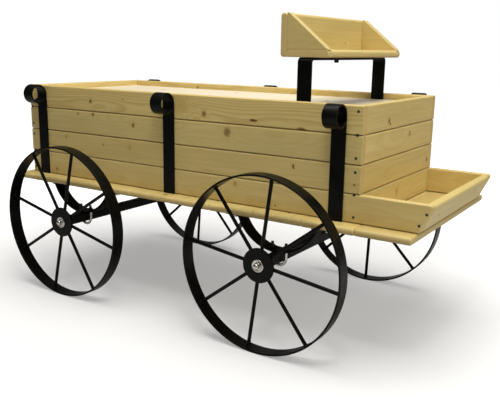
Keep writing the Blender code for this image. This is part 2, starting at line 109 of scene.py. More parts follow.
class Tree:
    """A small hand for laying out shader nodes in a material or in a node group."""

    def __init__(self, tree: bpy.types.NodeTree) -> None:
        """Takes the tree to lay nodes in."""
        self.tree = tree

    def node(self, kind: str, **settings: object) -> bpy.types.Node:
        """Adds a node.

        Args:
            kind: the node's type name without its ShaderNode prefix.
            settings: properties of the node by name.

        Returns:
            The new node.
        """
        made = self.tree.nodes.new("ShaderNode" + kind)
        for name, value in settings.items():
            setattr(made, name, value)
        made.location = (len(self.tree.nodes) % 12 * 190, -(len(self.tree.nodes) // 12) * 220)
        return made

    def feed(self, socket: bpy.types.NodeSocket, value: object) -> None:
        """Links a socket into another, or sets it where the value is a constant.

        Args:
            socket: the socket to feed.
            value: a socket, a constant, or None to leave it as it is.
        """
        if isinstance(value, bpy.types.NodeSocket):
            self.tree.links.new(value, socket)
        elif value is not None:
            socket.default_value = value

    def math(self, operation: str, *values: object, clamp: bool = False) -> bpy.types.NodeSocket:
        """Adds a Math node.

        Args:
            operation: what it works out.
            values: its inputs, in order.
            clamp: whether the result is held from 0 to 1.

        Returns:
            The result.
        """
        made = self.node("Math", operation=operation, use_clamp=clamp)
        for socket, value in zip(made.inputs, values):
            self.feed(socket, value)
        return made.outputs[0]

    def vector(self, operation: str, *values: object) -> bpy.types.NodeSocket:
        """Adds a Vector Math node.

        Args:
            operation: what it works out.
            values: its inputs, in order.

        Returns:
            A number for a length, otherwise a vector.
        """
        made = self.node("VectorMath", operation=operation)
        for socket, value in zip(made.inputs, values):
            self.feed(socket, value)
        return made.outputs["Value" if operation in ("LENGTH", "DISTANCE", "DOT_PRODUCT") else "Vector"]

    def scaled(self, vector: object, by: tuple[float, float, float]) -> bpy.types.NodeSocket:
        """Stretches a vector by a factor along each axis."""
        return self.vector("MULTIPLY", vector, by)

    def noise(
        self, vector: object, scale: object, detail: float = 2.0, rough: float = 0.5, colour: bool = False
    ) -> bpy.types.NodeSocket:
        """Adds a Noise texture.

        Args:
            vector: where it is read.
            scale: its scale, or the socket that sets it.
            detail: how many octaves it has.
            rough: how strong the finer octaves are.
            colour: whether the three-part output is wanted.

        Returns:
            The texture's number, or its colour.
        """
        made = self.node("TexNoise")
        self.feed(made.inputs["Vector"], vector)
        self.feed(made.inputs["Scale"], scale)
        made.inputs["Detail"].default_value = detail
        made.inputs["Roughness"].default_value = rough
        return made.outputs["Color" if colour else "Fac"]

    def between(self, value: object, low: float, high: float, smooth: bool = True) -> bpy.types.NodeSocket:
        """Runs from 0 at the low value to 1 at the high one, held at both ends.

        Args:
            value: what is looked at.
            low: where the result leaves 0.
            high: where it reaches 1.
            smooth: whether it eases in and out.

        Returns:
            The result.
        """
        made = self.node("MapRange", interpolation_type="SMOOTHSTEP" if smooth else "LINEAR", clamp=True)
        self.feed(made.inputs["Value"], value)
        made.inputs["From Min"].default_value = low
        made.inputs["From Max"].default_value = high
        return made.outputs["Result"]

    def mix(self, share: object, first: object, second: object) -> bpy.types.NodeSocket:
        """Mixes two colours.

        Args:
            share: how much of the second shows.
            first: a colour or a socket.
            second: a colour or a socket.

        Returns:
            The mixed colour.
        """
        made = self.node("Mix", data_type="RGBA", clamp_factor=True)
        colour_a, colour_b = made.inputs[6], made.inputs[7]
        self.feed(made.inputs["Factor"], share)
        self.feed(colour_a, _rgba(first))
        self.feed(colour_b, _rgba(second))
        return made.outputs[2]

    def split(self, vector: object) -> bpy.types.bpy_prop_collection:
        """Takes a vector apart.

        Args:
            vector: the vector.

        Returns:
            Its three numbers, by place or by the names X, Y and Z.
        """
        made = self.node("SeparateXYZ")
        self.feed(made.inputs[0], vector)
        return made.outputs

    def relief(self, shader: bpy.types.Node, height: object, strength: float, depth: float) -> None:
        """Gives a shader a fine relief.

        Args:
            shader: the shader that shows it.
            height: how high the surface is, from 0 to 1.
            strength: how much of it shows.
            depth: how high a full step is, in metres.
        """
        bump = self.node("Bump")
        bump.inputs["Strength"].default_value = strength
        bump.inputs["Distance"].default_value = depth
        self.feed(bump.inputs["Height"], height)
        self.feed(shader.inputs["Normal"], bump.outputs[0])


def _rgba(colour: object) -> object:
    """A colour of three numbers with its alpha; anything else is left as it is."""
    return (*colour, 1.0) if isinstance(colour, tuple) and len(colour) == 3 else colour


def start_group(
    name: str, inputs: dict[str, float | None], outputs: tuple[str, ...]
) -> tuple[Tree, dict[str, bpy.types.NodeSocket], bpy.types.Node]:
    """Starts a shader node group.

    Args:
        name: the group's name.
        inputs: each input's name, with its default: a number, or None for a vector.
        outputs: the name of each number that it puts out.

    Returns:
        The group's tree, its inputs by name, and its output node.
    """
    group = bpy.data.node_groups.new(name, "ShaderNodeTree")
    for word, value in inputs.items():
        kind = "NodeSocketVector" if value is None else FLOAT
        socket = group.interface.new_socket(name=word, in_out="INPUT", socket_type=kind)
        if value is not None:
            socket.default_value = value
    for word in outputs:
        group.interface.new_socket(name=word, in_out="OUTPUT", socket_type=FLOAT)
    entry = group.nodes.new("NodeGroupInput")
    leave = group.nodes.new("NodeGroupOutput")
    return Tree(group), {socket.name: socket for socket in entry.outputs if socket.name}, leave


class Effects:
    """The shader effects that several finishes share, each a node group that is built once."""

    def __init__(self) -> None:
        """Builds every shared effect."""
        self.rings = self._growth_rings()
        self.knot = self._knot()
        self.coat = self._powder_coat()
        self.scuffs = self._scuffs()

    @staticmethod
    def _growth_rings() -> bpy.types.NodeTree:
        """Growth rings and fibre of a softwood board, in the board's own directions.

        Returns:
            The node group. Its place runs along, across and through the board, in metres.
        """
        tree, given, leave = start_group(
            "Softwood growth rings",
            {"Place": None, "Swirl": 0.0, "Pith across": 0.02, "Pith depth": -0.06, "Spacing": 0.006, "Wander": 0.012},
            ("Latewood", "Fibre", "Cloud", "Relief"),
        )

        def drawn_out(along: float, round_it: float, detail: float, rough: float = 0.5) -> bpy.types.NodeSocket:
            """Noise that is long in the grain's direction: so many waves a metre along it, and across it."""
            return tree.noise(tree.scaled(given["Place"], (along, round_it, round_it)), 1.0, detail, rough)

        # how far the pith lies from here, wandering slowly along the board
        long_wave = tree.noise(tree.scaled(given["Place"], (1.4, 5.0, 5.0)), 1.0, 2.0, colour=True)
        drift = tree.split(tree.vector("SUBTRACT", long_wave, (0.5, 0.5, 0.5)))
        parts = tree.split(given["Place"])
        across = tree.math("SUBTRACT", parts["Y"], given["Pith across"])
        across = tree.math("MULTIPLY_ADD", drift["Y"], given["Wander"], across)
        across = tree.math("MULTIPLY_ADD", drift["X"], given["Wander"], across)
        depth = tree.math("SUBTRACT", parts["Z"], given["Pith depth"])
        depth = tree.math("MULTIPLY_ADD", drift["Z"], given["Wander"], depth)
        depth = tree.math("MULTIPLY_ADD", tree.math("SUBTRACT", drawn_out(2.2, 0.0, 1.0), 0.5), 0.05, depth)
        radius = tree.math("SQRT", tree.math("MULTIPLY_ADD", across, across, tree.math("MULTIPLY", depth, depth)))
        ripple = tree.math("SUBTRACT", drawn_out(9.0, 60.0, 3.0), 0.5)
        radius = tree.math("ADD", tree.math("MULTIPLY_ADD", ripple, 0.0022, radius), given["Swirl"])
        # each year darkens slowly and ends sharply, and some years are stronger than others
        turns = tree.math("DIVIDE", radius, given["Spacing"])
        year = tree.math("FRACT", turns)
        rise, fall = tree.between(year, 0.25, 0.86), tree.between(year, 0.9, 1.0)
        late = tree.math("MULTIPLY", rise, tree.math("SUBTRACT", 1.0, fall))
        vary = tree.noise(tree.math("FLOOR", turns), 3.7, 0.0)
        late = tree.math("MULTIPLY", late, tree.math("MULTIPLY_ADD", vary, 0.9, 0.35), clamp=True)
        # fibres, flecks, and the broader streaks and patches of tone
        fibre, fleck = drawn_out(14.0, 620.0, 3.0, 0.65), drawn_out(60.0, 2400.0, 1.0, 0.6)
        fibre = tree.math("MULTIPLY_ADD", fleck, 0.4, tree.math("MULTIPLY", fibre, 0.6))
        patch, streak = drawn_out(3.0, 16.0, 3.0, 0.55), drawn_out(3.5, 150.0, 2.0, 0.6)
        cloud = tree.math("MULTIPLY_ADD", streak, 0.55, tree.math("MULTIPLY", patch, 0.45))
        relief = tree.math("MULTIPLY_ADD", late, 0.5, tree.math("MULTIPLY", fibre, 0.5))
        for word, value in (("Latewood", late), ("Fibre", fibre), ("Cloud", cloud), ("Relief", relief)):
            tree.feed(leave.inputs[word], value)
        return tree.tree

    @staticmethod
    def _knot() -> bpy.types.NodeTree:
        """One knot in a board's face, and the way the rings flow round it.

        Returns:
            The node group. Its inputs that end in "in" take what the knots before it have given.
        """
        tree, given, leave = start_group(
            "Knot",
            {"Place": None, "Along": 0.0, "Across": 0.0, "Radius": 0.006, "Tall": 1.0, "Dark": 1.0, "Swirl in": 0.0,
             "Core in": 0.0, "Rim in": 0.0, "Halo in": 0.0},
            ("Swirl", "Core", "Rim", "Halo"),
        )
        # the distance from the knot's heart in knot radii, its outline made uneven
        wobble = tree.noise(given["Place"], 170.0, 3.0, 0.6, colour=True)
        shift = tree.vector("SCALE", tree.vector("SUBTRACT", wobble, (0.5, 0.5, 0.5)))
        tree.feed(shift.node.inputs["Scale"], tree.math("MULTIPLY", given["Radius"], 2.2))
        parts = tree.split(tree.vector("ADD", given["Place"], shift))
        along = tree.math("DIVIDE", tree.math("SUBTRACT", parts["X"], given["Along"]), given["Radius"])
        across = tree.math("DIVIDE", tree.math("SUBTRACT", parts["Y"], given["Across"]), given["Radius"])
        narrow = tree.math("MULTIPLY", along, given["Tall"])
        away = tree.math("SQRT", tree.math("MULTIPLY_ADD", narrow, narrow, tree.math("MULTIPLY", across, across)))
        core = tree.math("SUBTRACT", 1.0, tree.between(away, 0.55, 1.0))
        core = tree.math("MULTIPLY", core, given["Dark"])
        from_rim = tree.math("ABSOLUTE", tree.math("SUBTRACT", away, 1.0))
        rim = tree.math("SUBTRACT", 1.0, tree.between(from_rim, 0.0, 0.5))
        rim = tree.math("MULTIPLY", rim, given["Dark"])
        # a bell round the knot, longer along the grain, that stains the wood and pushes its rings aside
        reach = tree.math("MULTIPLY", tree.math("MULTIPLY", along, along), 0.16)
        reach = tree.math("MULTIPLY_ADD", tree.math("MULTIPLY", across, across), 0.3, reach)
        bell = tree.math("POWER", 2.718, tree.math("MULTIPLY", reach, -1.0))
        strength = tree.math("MULTIPLY_ADD", given["Dark"], 0.5, 0.5)
        halo = tree.math("MULTIPLY", tree.math("MULTIPLY", bell, bell), strength)
        pull = tree.math("MULTIPLY", bell, tree.math("MULTIPLY", given["Radius"], 1.5))
        tree.feed(leave.inputs["Swirl"], tree.math("ADD", given["Swirl in"], pull))
        for word, value in (("Core", core), ("Rim", rim), ("Halo", halo)):
            tree.feed(leave.inputs[word], tree.math("MAXIMUM", given[word + " in"], value))
        return tree.tree

    @staticmethod
    def _powder_coat() -> bpy.types.NodeTree:
        """The fine orange peel and the uneven sheen of a sprayed or plated coat.

        Returns:
            The node group.
        """
        tree, given, leave = start_group(
            "Coat texture", {"Place": None, "Grain": 900.0, "Patch": 14.0}, ("Peel", "Sheen")
        )
        tree.feed(leave.inputs["Peel"], tree.noise(given["Place"], given["Grain"], 1.5))
        tree.feed(leave.inputs["Sheen"], tree.noise(given["Place"], given["Patch"], 4.0, 0.6))
        return tree.tree

    @staticmethod
    def _scuffs() -> bpy.types.NodeTree:
        """Sparse fine scratches and rubbed specks.

        Returns:
            The node group.
        """
        tree, given, leave = start_group("Scuffs", {"Place": None, "Amount": 0.3}, ("Scuff",))
        turned = tree.node("Mapping")
        tree.feed(turned.inputs["Vector"], given["Place"])
        turned.inputs["Rotation"].default_value = (0.5, 0.3, 0.8)
        turned.inputs["Scale"].default_value = (16.0, 900.0, 300.0)
        line = tree.between(tree.noise(turned.outputs[0], 1.0, 2.0, 0.6), 0.66, 0.74)
        patch = tree.between(tree.noise(given["Place"], 30.0, 3.0, 0.6), 0.52, 0.7)
        speck = tree.between(tree.noise(given["Place"], 420.0, 2.0, 0.6), 0.7, 0.78)
        both = tree.math("MAXIMUM", tree.math("MULTIPLY", line, patch), tree.math("MULTIPLY", speck, 0.5))
        tree.feed(leave.inputs["Scuff"], tree.math("MULTIPLY", both, given["Amount"]))
        return tree.tree

    def place(self, tree: Tree, group: bpy.types.NodeTree, **values: object) -> bpy.types.Node:
        """Puts a shared effect in a material.

        Args:
            tree: the material's tree.
            group: the effect.
            values: its inputs, with an underscore for each space in a name.

        Returns:
            The group node.
        """
        made = tree.node("Group", node_tree=group)
        for word, value in values.items():
            tree.feed(made.inputs[word.replace("_", " ")], value)
        return made


def start_material(name: str) -> tuple[bpy.types.Material, Tree, bpy.types.Node]:
    """Starts a material with an empty Principled shader.

    Args:
        name: the material's name.

    Returns:
        The material, its tree and its shader.
    """
    material = bpy.data.materials.new(name)
    material.use_nodes = True
    return material, Tree(material.node_tree), material.node_tree.nodes["Principled BSDF"]


@dataclass(frozen=True)
class Knot:
    """A knot: its place from the board's middle along and across, its radius, how tall and how dark it is."""

    along: float
    across: float
    radius: float = 0.004
    tall: float = 1.0
    dark: float = 1.0


@dataclass(frozen=True)
class Pine:
    """Planed pine under a clear coat: pale early wood, honey late wood, knots and darker end grain, with painted shade
    on faces that turn downwards.
    """

    name: str
    lay: Lay
    middle: Vector
    knots: tuple[Knot, ...] = ()
    seed: int = 0
    figure: float = 0.26
    pale: Colour = (0.71, 0.56, 0.215)
    honey: Colour = (0.52, 0.35, 0.09)
    knot_core: Colour = (0.11, 0.036, 0.001)
    knot_rim: Colour = (0.28, 0.11, 0.004)
    knot_stain: Colour = (0.52, 0.27, 0.035)
    # painted shade: the dark brown that faces turning downwards are mixed towards
    under_edge: Colour = (0.2, 0.1, 0.02)
    fibre_tint: Colour = (0.42, 0.26, 0.09)
    end_grain: Colour = (0.5, 0.31, 0.12)
    roughness: float = 0.52
    tone: float = 1.0

    def make(self, effects: Effects) -> bpy.types.Material:
        """Builds the material.

        Args:
            effects: the shared shader effects.

        Returns:
            The material.
        """
        dice = random.Random(self.seed * 7919 + 13)
        material, tree, shader = start_material(self.name)
        spot = tree.node("TexCoord")
        place = self._board_place(tree, spot.outputs["Object"])
        swirl, core, rim, halo = self._all_knots(tree, effects, place)
        moved = tree.vector("ADD", place, (dice.uniform(-9, 9), 0.0, 0.0))
        rings = effects.place(
            tree, effects.rings, Place=moved, Swirl=swirl,
            Pith_across=dice.uniform(-0.03, 0.03), Pith_depth=dice.choice((-1, 1)) * dice.uniform(0.035, 0.09),
            Spacing=dice.uniform(0.0034, 0.0054), Wander=dice.uniform(0.018, 0.04),
        ).outputs
        tone, warmth = self.tone * dice.uniform(0.95, 1.05), dice.uniform(-0.04, 0.05)
        pale = tuple(c * tone * (1 - warmth * i * 0.5) for i, c in enumerate(self.pale))
        colour = tree.mix(tree.math("MULTIPLY", rings["Latewood"], self.figure), pale, self.honey)
        cloud = tree.between(rings["Cloud"], 0.36, 0.64)
        fibre = tree.between(rings["Fibre"], 0.35, 0.7, smooth=False)
        layers = [(cloud, 0.24, tuple(c * 0.86 for c in self.honey)), (fibre, 0.13, self.fibre_tint)]
        if self.knots:
            stain = tree.math("MULTIPLY", halo, tree.between(rings["Fibre"], 0.2, 0.8))
            layers += [(stain, 0.75, self.knot_stain), (rim, 0.86, self.knot_rim), (core, 0.9, self.knot_core)]
        facing = tree.split(spot.outputs["Normal"])
        end = tree.between(tree.math("ABSOLUTE", facing[self.lay.value[0]]), 0.75, 0.95)
        # painted shade: faces that turn downwards, such as each board's lower eased edge, are darkened towards a dark
        # brown
        under = tree.between(tree.math("MULTIPLY", facing["Z"], -1.0), 0.5, 0.8)
        layers += [(end, 0.34, self.end_grain), (under, 0.75, self.under_edge)]
        for mask, share, tint in layers:
            colour = tree.mix(tree.math("MULTIPLY", mask, share), colour, tint)
        tree.feed(shader.inputs["Base Color"], colour)
        rough = tree.math("MULTIPLY_ADD", rings["Fibre"], 0.16, self.roughness - 0.08)
        rough = tree.math("MULTIPLY_ADD", rings["Latewood"], -0.08, rough)
        rough = tree.math("MULTIPLY_ADD", end, 0.14, rough, clamp=True)
        tree.feed(shader.inputs["Roughness"], rough)
        shader.inputs["Specular IOR Level"].default_value = 0.42
        shader.inputs["Coat Roughness"].default_value = 0.38
        coat = tree.math("MULTIPLY_ADD", rings["Cloud"], -0.1, 0.22, clamp=True)
        tree.feed(shader.inputs["Coat Weight"], coat)
        height = rings["Relief"]
        if self.knots:
            height = tree.math("MULTIPLY_ADD", rim, 0.5, height)
        tree.relief(shader, height, 0.28, 0.0007)
        return material

    def _board_place(self, tree: Tree, spot: bpy.types.NodeSocket) -> bpy.types.NodeSocket:
        """Turns a place in the cart into one along, across and through the board, from the board's middle.

        Args:
            tree: the material's tree.
            spot: the place in the cart.

        Returns:
            The place in the board.
        """
        centred, laid = tree.node("Mapping"), tree.node("CombineXYZ")
        tree.feed(centred.inputs["Vector"], spot)
        centred.inputs["Location"].default_value = -self.middle
        parts = tree.split(centred.outputs[0])
        for slot, axis in enumerate(self.lay.value):
            tree.feed(laid.inputs[slot], parts[axis])
        return laid.outputs[0]

    def _all_knots(self, tree: Tree, effects: Effects, place: bpy.types.NodeSocket) -> tuple[object, ...]:
        """Chains the board's knots.

        Args:
            tree: the material's tree.
            effects: the shared shader effects.
            place: the place in the board.

        Returns:
            How far the rings are pushed, then the masks of the knots' cores, rims and stains.
        """
        swirl, core, rim, halo = 0.0, 0.0, 0.0, 0.0
        for knot in self.knots:
            made = effects.place(
                tree, effects.knot, Place=place, Along=knot.along, Across=knot.across, Radius=knot.radius,
                Tall=knot.tall, Dark=knot.dark, Swirl_in=swirl, Core_in=core, Rim_in=rim, Halo_in=halo,
            )
            swirl, core, rim, halo = (made.outputs[word] for word in ("Swirl", "Core", "Rim", "Halo"))
        return swirl, core, rim, halo


@dataclass(frozen=True)
class SatinBlack:
    """Black paint on steel, satin, with a little peel, dust and rub."""

    name: str
    colour: Colour = (0.0016, 0.0016, 0.0013)
    rubbed: Colour = (0.03, 0.029, 0.025)
    roughness: float = 0.33
    scuff: float = 0.35

    def make(self, effects: Effects) -> bpy.types.Material:
        """Builds the material.

        Args:
            effects: the shared shader effects.

        Returns:
            The material.
        """
        material, tree, shader = start_material(self.name)
        spot = tree.node("TexCoord").outputs["Object"]
        coat = effects.place(tree, effects.coat, Place=spot, Grain=1100.0, Patch=11.0)
        scuff = effects.place(tree, effects.scuffs, Place=spot, Amount=self.scuff).outputs["Scuff"]
        dusty = tree.between(coat.outputs["Sheen"], 0.35, 0.75)
        dull = tree.mix(dusty, self.colour, tuple(c * 1.9 for c in self.colour))
        tree.feed(shader.inputs["Base Color"], tree.mix(scuff, dull, self.rubbed))
        rough = tree.math("MULTIPLY_ADD", coat.outputs["Sheen"], 0.26, self.roughness - 0.13)
        tree.feed(shader.inputs["Roughness"], tree.math("MULTIPLY_ADD", scuff, 0.2, rough, clamp=True))
        shader.inputs["Specular IOR Level"].default_value = 0.13
        tree.relief(shader, coat.outputs["Peel"], 0.12, 0.0003)
        return material


@dataclass(frozen=True)
class BrightZinc:
    """Bright zinc plate, with faint clouds and fine scratches. Threads show as a relief along the part's axis, and
    painted shade darkens them.
    """

    name: str
    colour: Colour = (0.68, 0.66, 0.6)
    clouded: Colour = (0.52, 0.51, 0.47)
    # painted shade: the dark grey that the threaded part is mixed towards
    thread_shade: Colour = (0.16, 0.155, 0.14)
    roughness: float = 0.2
    pitch: float = 0.00125
    thread_above: float | None = None

    def make(self, effects: Effects) -> bpy.types.Material:
        """Builds the material.

        Args:
            effects: the shared shader effects.

        Returns:
            The material.
        """
        material, tree, shader = start_material(self.name)
        spot = tree.node("TexCoord").outputs["Object"]
        coat = effects.place(tree, effects.coat, Place=spot, Grain=700.0, Patch=120.0)
        scuff = effects.place(tree, effects.scuffs, Place=spot, Amount=0.5).outputs["Scuff"]
        cloud = tree.between(coat.outputs["Sheen"], 0.38, 0.7)
        plated = tree.mix(cloud, self.colour, self.clouded)
        tree.feed(shader.inputs["Metallic"], tree.math("MULTIPLY_ADD", cloud, -0.06, 0.98, clamp=True))
        rough = tree.math("MULTIPLY_ADD", cloud, 0.16, self.roughness - 0.06)
        tree.feed(shader.inputs["Roughness"], tree.math("MULTIPLY_ADD", scuff, 0.2, rough, clamp=True))
        height = tree.math("MULTIPLY", coat.outputs["Peel"], 0.03)
        if self.thread_above is not None:
            level = tree.split(spot)["Z"]
            wave = tree.math("SINE", tree.math("MULTIPLY", level, 2 * math.pi / self.pitch))
            start = tree.between(level, self.thread_above - 0.0005, self.thread_above)
            height = tree.math("MULTIPLY_ADD", wave, start, height)
            # painted shade: the threaded part is darkened to a dark grey
            plated = tree.mix(start, plated, self.thread_shade)
        tree.feed(shader.inputs["Base Color"], plated)
        tree.relief(shader, height, 0.35, 0.0004)
        return material


@dataclass(frozen=True)
class DarkScrewSteel:
    """Blackened screw steel with a rubbed, slightly brown sheen."""

    name: str
    colour: Colour = (0.03, 0.024, 0.018)
    rubbed: Colour = (0.11, 0.095, 0.075)

    def make(self, effects: Effects) -> bpy.types.Material:
        """Builds the material.

        Args:
            effects: the shared shader effects.

        Returns:
            The material.
        """
        material, tree, shader = start_material(self.name)
        spot = tree.node("TexCoord").outputs["Object"]
        coat = effects.place(tree, effects.coat, Place=spot, Grain=1500.0, Patch=160.0)
        tree.feed(shader.inputs["Base Color"], tree.mix(coat.outputs["Sheen"], self.colour, self.rubbed))
        rough = tree.math("MULTIPLY_ADD", coat.outputs["Sheen"], 0.3, 0.3, clamp=True)
        tree.feed(shader.inputs["Roughness"], rough)
        tree.feed(shader.inputs["Metallic"], tree.math("MULTIPLY_ADD", coat.outputs["Peel"], 0.3, 0.5, clamp=True))
        tree.relief(shader, coat.outputs["Peel"], 0.2, 0.0002)
        return material


# ---------------------------------------------------------------------------------------------------------------------
# Mesh building
# ---------------------------------------------------------------------------------------------------------------------


def verts_of(geometry: list) -> list[bmesh.types.BMVert]:
    """The vertices among a list of mesh parts."""
    return [part for part in geometry if isinstance(part, bmesh.types.BMVert)]


def faces_of(geometry: list) -> list[bmesh.types.BMFace]:
    """The faces among a list of mesh parts."""
    return [part for part in geometry if isinstance(part, bmesh.types.BMFace)]


def soften(bm: bmesh.types.BMesh, edges: list[bmesh.types.BMEdge], radius: float, segments: int = 3) -> None:
    """Rounds edges over.

    Args:
        bm: the mesh.
        edges: its edges to round.
        radius: how far the rounding reaches from each edge.
        segments: how many faces make the round.
    """
    bmesh.ops.bevel(
        bm, geom=edges, offset=radius, offset_type="OFFSET", affect="EDGES", segments=segments, profile=0.5,
        material=-1, clamp_overlap=True,
    )


def edges_along(bm: bmesh.types.BMesh, axis: int) -> list[bmesh.types.BMEdge]:
    """The straight edges that run along a world axis, or all but along it.

    Args:
        bm: the mesh.
        axis: 0, 1 or 2 for X, Y or Z.

    Returns:
        The edges found.
    """
    found = []
    for edge in bm.edges:
        way = edge.verts[1].co - edge.verts[0].co
        if way.length > 1e-6 and abs(way.normalized()[axis]) > 0.98:
            found.append(edge)
    return found


def edges_over(bm: bmesh.types.BMesh, degrees: float) -> list[bmesh.types.BMEdge]:
    """The edges whose two faces turn by more than an angle."""
    return [edge for edge in bm.edges if edge.calc_face_angle(0) > math.radians(degrees)]


def upright(way: Vector) -> Matrix:
    """The turn that stands a part made along Z along another way."""
    return way.to_track_quat("Z", "Y").to_matrix().to_4x4()


def block(low: Vector, high: Vector) -> bmesh.types.BMesh:
    """A plain block between two corners.

    Args:
        low: its lowest corner.
        high: its highest corner.

    Returns:
        The mesh, ready to be shaped.
    """
    bm = bmesh.new()
    size, middle = high - low, (high + low) / 2
    bmesh.ops.create_cube(bm, size=1.0, matrix=Matrix.Translation(middle) @ Matrix.Diagonal((*size, 1.0)))
    return bm


def turned(profile: list[tuple[float, float]], steps: int) -> bmesh.types.BMesh:
    """A piece turned about the Y axis.

    Args:
        profile: the closed outline's points, as (radius, place along Y).
        steps: how many faces go round it.

    Returns:
        The mesh.
    """
    bm = bmesh.new()
    points = [bm.verts.new((radius, along, 0.0)) for radius, along in profile]
    edges = [bm.edges.new(pair) for pair in zip(points, points[1:] + points[:1])]
    bmesh.ops.spin(
        bm, geom=points + edges, cent=(0, 0, 0), axis=(0, 1, 0), angle=2 * math.pi, steps=steps, use_merge=True
    )
    bmesh.ops.remove_doubles(bm, verts=bm.verts, dist=WELD)
    bmesh.ops.recalc_face_normals(bm, faces=bm.faces)
    return bm


def rounded_profile(points: list[tuple[float, float]], radius: float, segments: int = 3) -> list[tuple[float, float]]:
    """Rounds the corners of a flat closed outline.

    Args:
        points: the outline's corners.
        radius: the radius at each corner.
        segments: how many edges make each round.

    Returns:
        The rounded outline's points, in order.
    """
    bm = bmesh.new()
    face = bm.faces.new([bm.verts.new((x, y, 0.0)) for x, y in points])
    bmesh.ops.bevel(
        bm, geom=list(face.verts), offset=radius, offset_type="OFFSET", affect="VERTICES", segments=segments,
        profile=0.5, material=-1, clamp_overlap=True,
    )
    bm.faces.ensure_lookup_table()
    outline = [(loop.vert.co.x, loop.vert.co.y) for loop in bm.faces[0].loops]
    bm.free()
    return outline


def copied_into(bm: bmesh.types.BMesh, other: bmesh.types.BMesh, at: Matrix) -> None:
    """Adds a copy of one mesh to another.

    Args:
        bm: the mesh that grows.
        other: the mesh that is copied.
        at: where the copy goes.
    """
    spare = bpy.data.meshes.new("spare")
    other.to_mesh(spare)
    spare.transform(at)
    if at.determinant() < 0:
        spare.flip_normals()
    bm.from_mesh(spare)
    bpy.data.meshes.remove(spare)


class BarBender:
    """Forms a bar in the XY plane the way a smith does, in straight runs and bends."""

    def __init__(self, section: list[tuple[float, float]], start: Vector, heading: float) -> None:
        """Sets the bar's section up at its start.

        Args:
            section: the section's outline, as (to the left of the way, up).
            start: where the bar starts.
            heading: the way it sets off, in radians from +X.
        """
        self.bm = bmesh.new()
        self.at = start.copy()
        self.heading = heading
        corners = [self.bm.verts.new(start + self.left() * across + UP * up) for across, up in section]
        self.tip = [self.bm.faces.new(corners)]

    def left(self) -> Vector:
        """The way to the left of the bar's heading."""
        return Vector((-math.sin(self.heading), math.cos(self.heading), 0.0))

    def straight(self, length: float) -> "BarBender":
        """Runs the bar straight on for a length.

        Args:
            length: how far.

        Returns:
            The bender, for the next run.
        """
        way = Vector((math.cos(self.heading), math.sin(self.heading), 0.0)) * length
        grown = bmesh.ops.extrude_face_region(self.bm, geom=self.tip)["geom"]
        bmesh.ops.translate(self.bm, verts=verts_of(grown), vec=way)
        self.tip = faces_of(grown)
        self.at += way
        return self

    def bend(self, radius: float, angle: float, step: float = math.radians(6)) -> "BarBender":
        """Bends the bar.

        Args:
            radius: the bend's radius at the bar's middle.
            angle: how far it turns: positive to the left.
            step: the largest turn of one face.

        Returns:
            The bender, for the next run.
        """
        side = 1 if angle > 0 else -1
        centre = self.at + self.left() * side * radius
        steps = max(2, round(abs(angle) / step))
        parts = self.tip + list(self.tip[0].edges) + list(self.tip[0].verts)
        spun = bmesh.ops.spin(
            self.bm, geom=parts, cent=centre, axis=(0, 0, 1), angle=angle, steps=steps, use_duplicate=False
        )
        self.tip = faces_of(spun["geom_last"])
        self.heading += angle
        self.at = centre - self.left() * side * radius
        return self

    def stand(self, along: Vector, at: Vector) -> bmesh.types.BMesh:
        """Stands the finished bar in the cart, with the bender's +Y upwards.

        Args:
            along: where the bender's +X points.
            at: where its origin goes.

        Returns:
            The placed mesh.
        """
        turn = Matrix((along, UP, along.cross(UP))).transposed().to_4x4()
        bmesh.ops.transform(self.bm, matrix=Matrix.Translation(at) @ turn, verts=self.bm.verts)
        bmesh.ops.remove_doubles(self.bm, verts=self.bm.verts, dist=WELD)
        bmesh.ops.recalc_face_normals(self.bm, faces=self.bm.faces)
        return self.bm


def flat_section(thickness: float, width: float, corner: float) -> list[tuple[float, float]]:
    """The section of a rolled flat bar with softened corners."""
    t, w = thickness / 2, width / 2
    return rounded_profile([(-t, -w), (t, -w), (t, w), (-t, w)], corner, 2)


def round_section(radius: float, sides: int = 16) -> list[tuple[float, float]]:
    """The section of a round rod."""
    turns = [2 * math.pi * i / sides for i in range(sides)]
    return [(radius * math.cos(turn), radius * math.sin(turn)) for turn in turns]


@dataclass
class Workshop:
    """Keeps the shared effects and finishes, and turns meshes into placed pieces of the cart."""

    effects: Effects
    black: bpy.types.Material
    black_gear: bpy.types.Material
    zinc: bpy.types.Material
    threaded: bpy.types.Material
    screw: bpy.types.Material
    made: list[bpy.types.Object] = field(default_factory=list)

    def piece(
        self, name: str, bm: bmesh.types.BMesh, material: bpy.types.Material, slot: str, body: str = CART,
        instead_of: tuple[str, ...] = (),
    ) -> bpy.types.Object:
        """Makes a piece of the cart from its finished mesh.

        Args:
            name: the piece's name.
            bm: its mesh, in place; it is freed.
            material: its finish.
            slot: the material slot it stands in for; not used.
            body: the moving body it rides on.
            instead_of: the plain solids it is shown for.

        Returns:
            The piece.
        """
        mesh = bpy.data.meshes.new(name)
        bm.to_mesh(mesh)
        bm.free()
        mesh.shade_smooth()
        mesh.set_sharp_from_angle(angle=SHARP)
        mesh.materials.append(material)
        made = bpy.data.objects.new(name, mesh)
        bpy.context.scene.collection.objects.link(made)
        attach(made, body)
        if instead_of:
            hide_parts(*instead_of)
        self.made.append(made)
        LOG.info("%s: %d faces, %s, rides on %s", name, len(mesh.polygons), material.name, body)
        return made

    def level_normals(self) -> None:
        """Lets each piece's broad faces set the shading at its rounded edges."""
        for made in self.made:
            weight = made.modifiers.new("Level", "WEIGHTED_NORMAL")
            weight.mode = "FACE_AREA"
            weight.keep_sharp = True
        bpy.context.view_layer.update()
        graph = bpy.context.evaluated_depsgraph_get()
        for made in self.made:
            level = bpy.data.meshes.new_from_object(made.evaluated_get(graph))
            made.modifiers.clear()
            old, made.data = made.data, level
            level.name = made.name
            bpy.data.meshes.remove(old)


# ---------------------------------------------------------------------------------------------------------------------
# Bed
# ---------------------------------------------------------------------------------------------------------------------


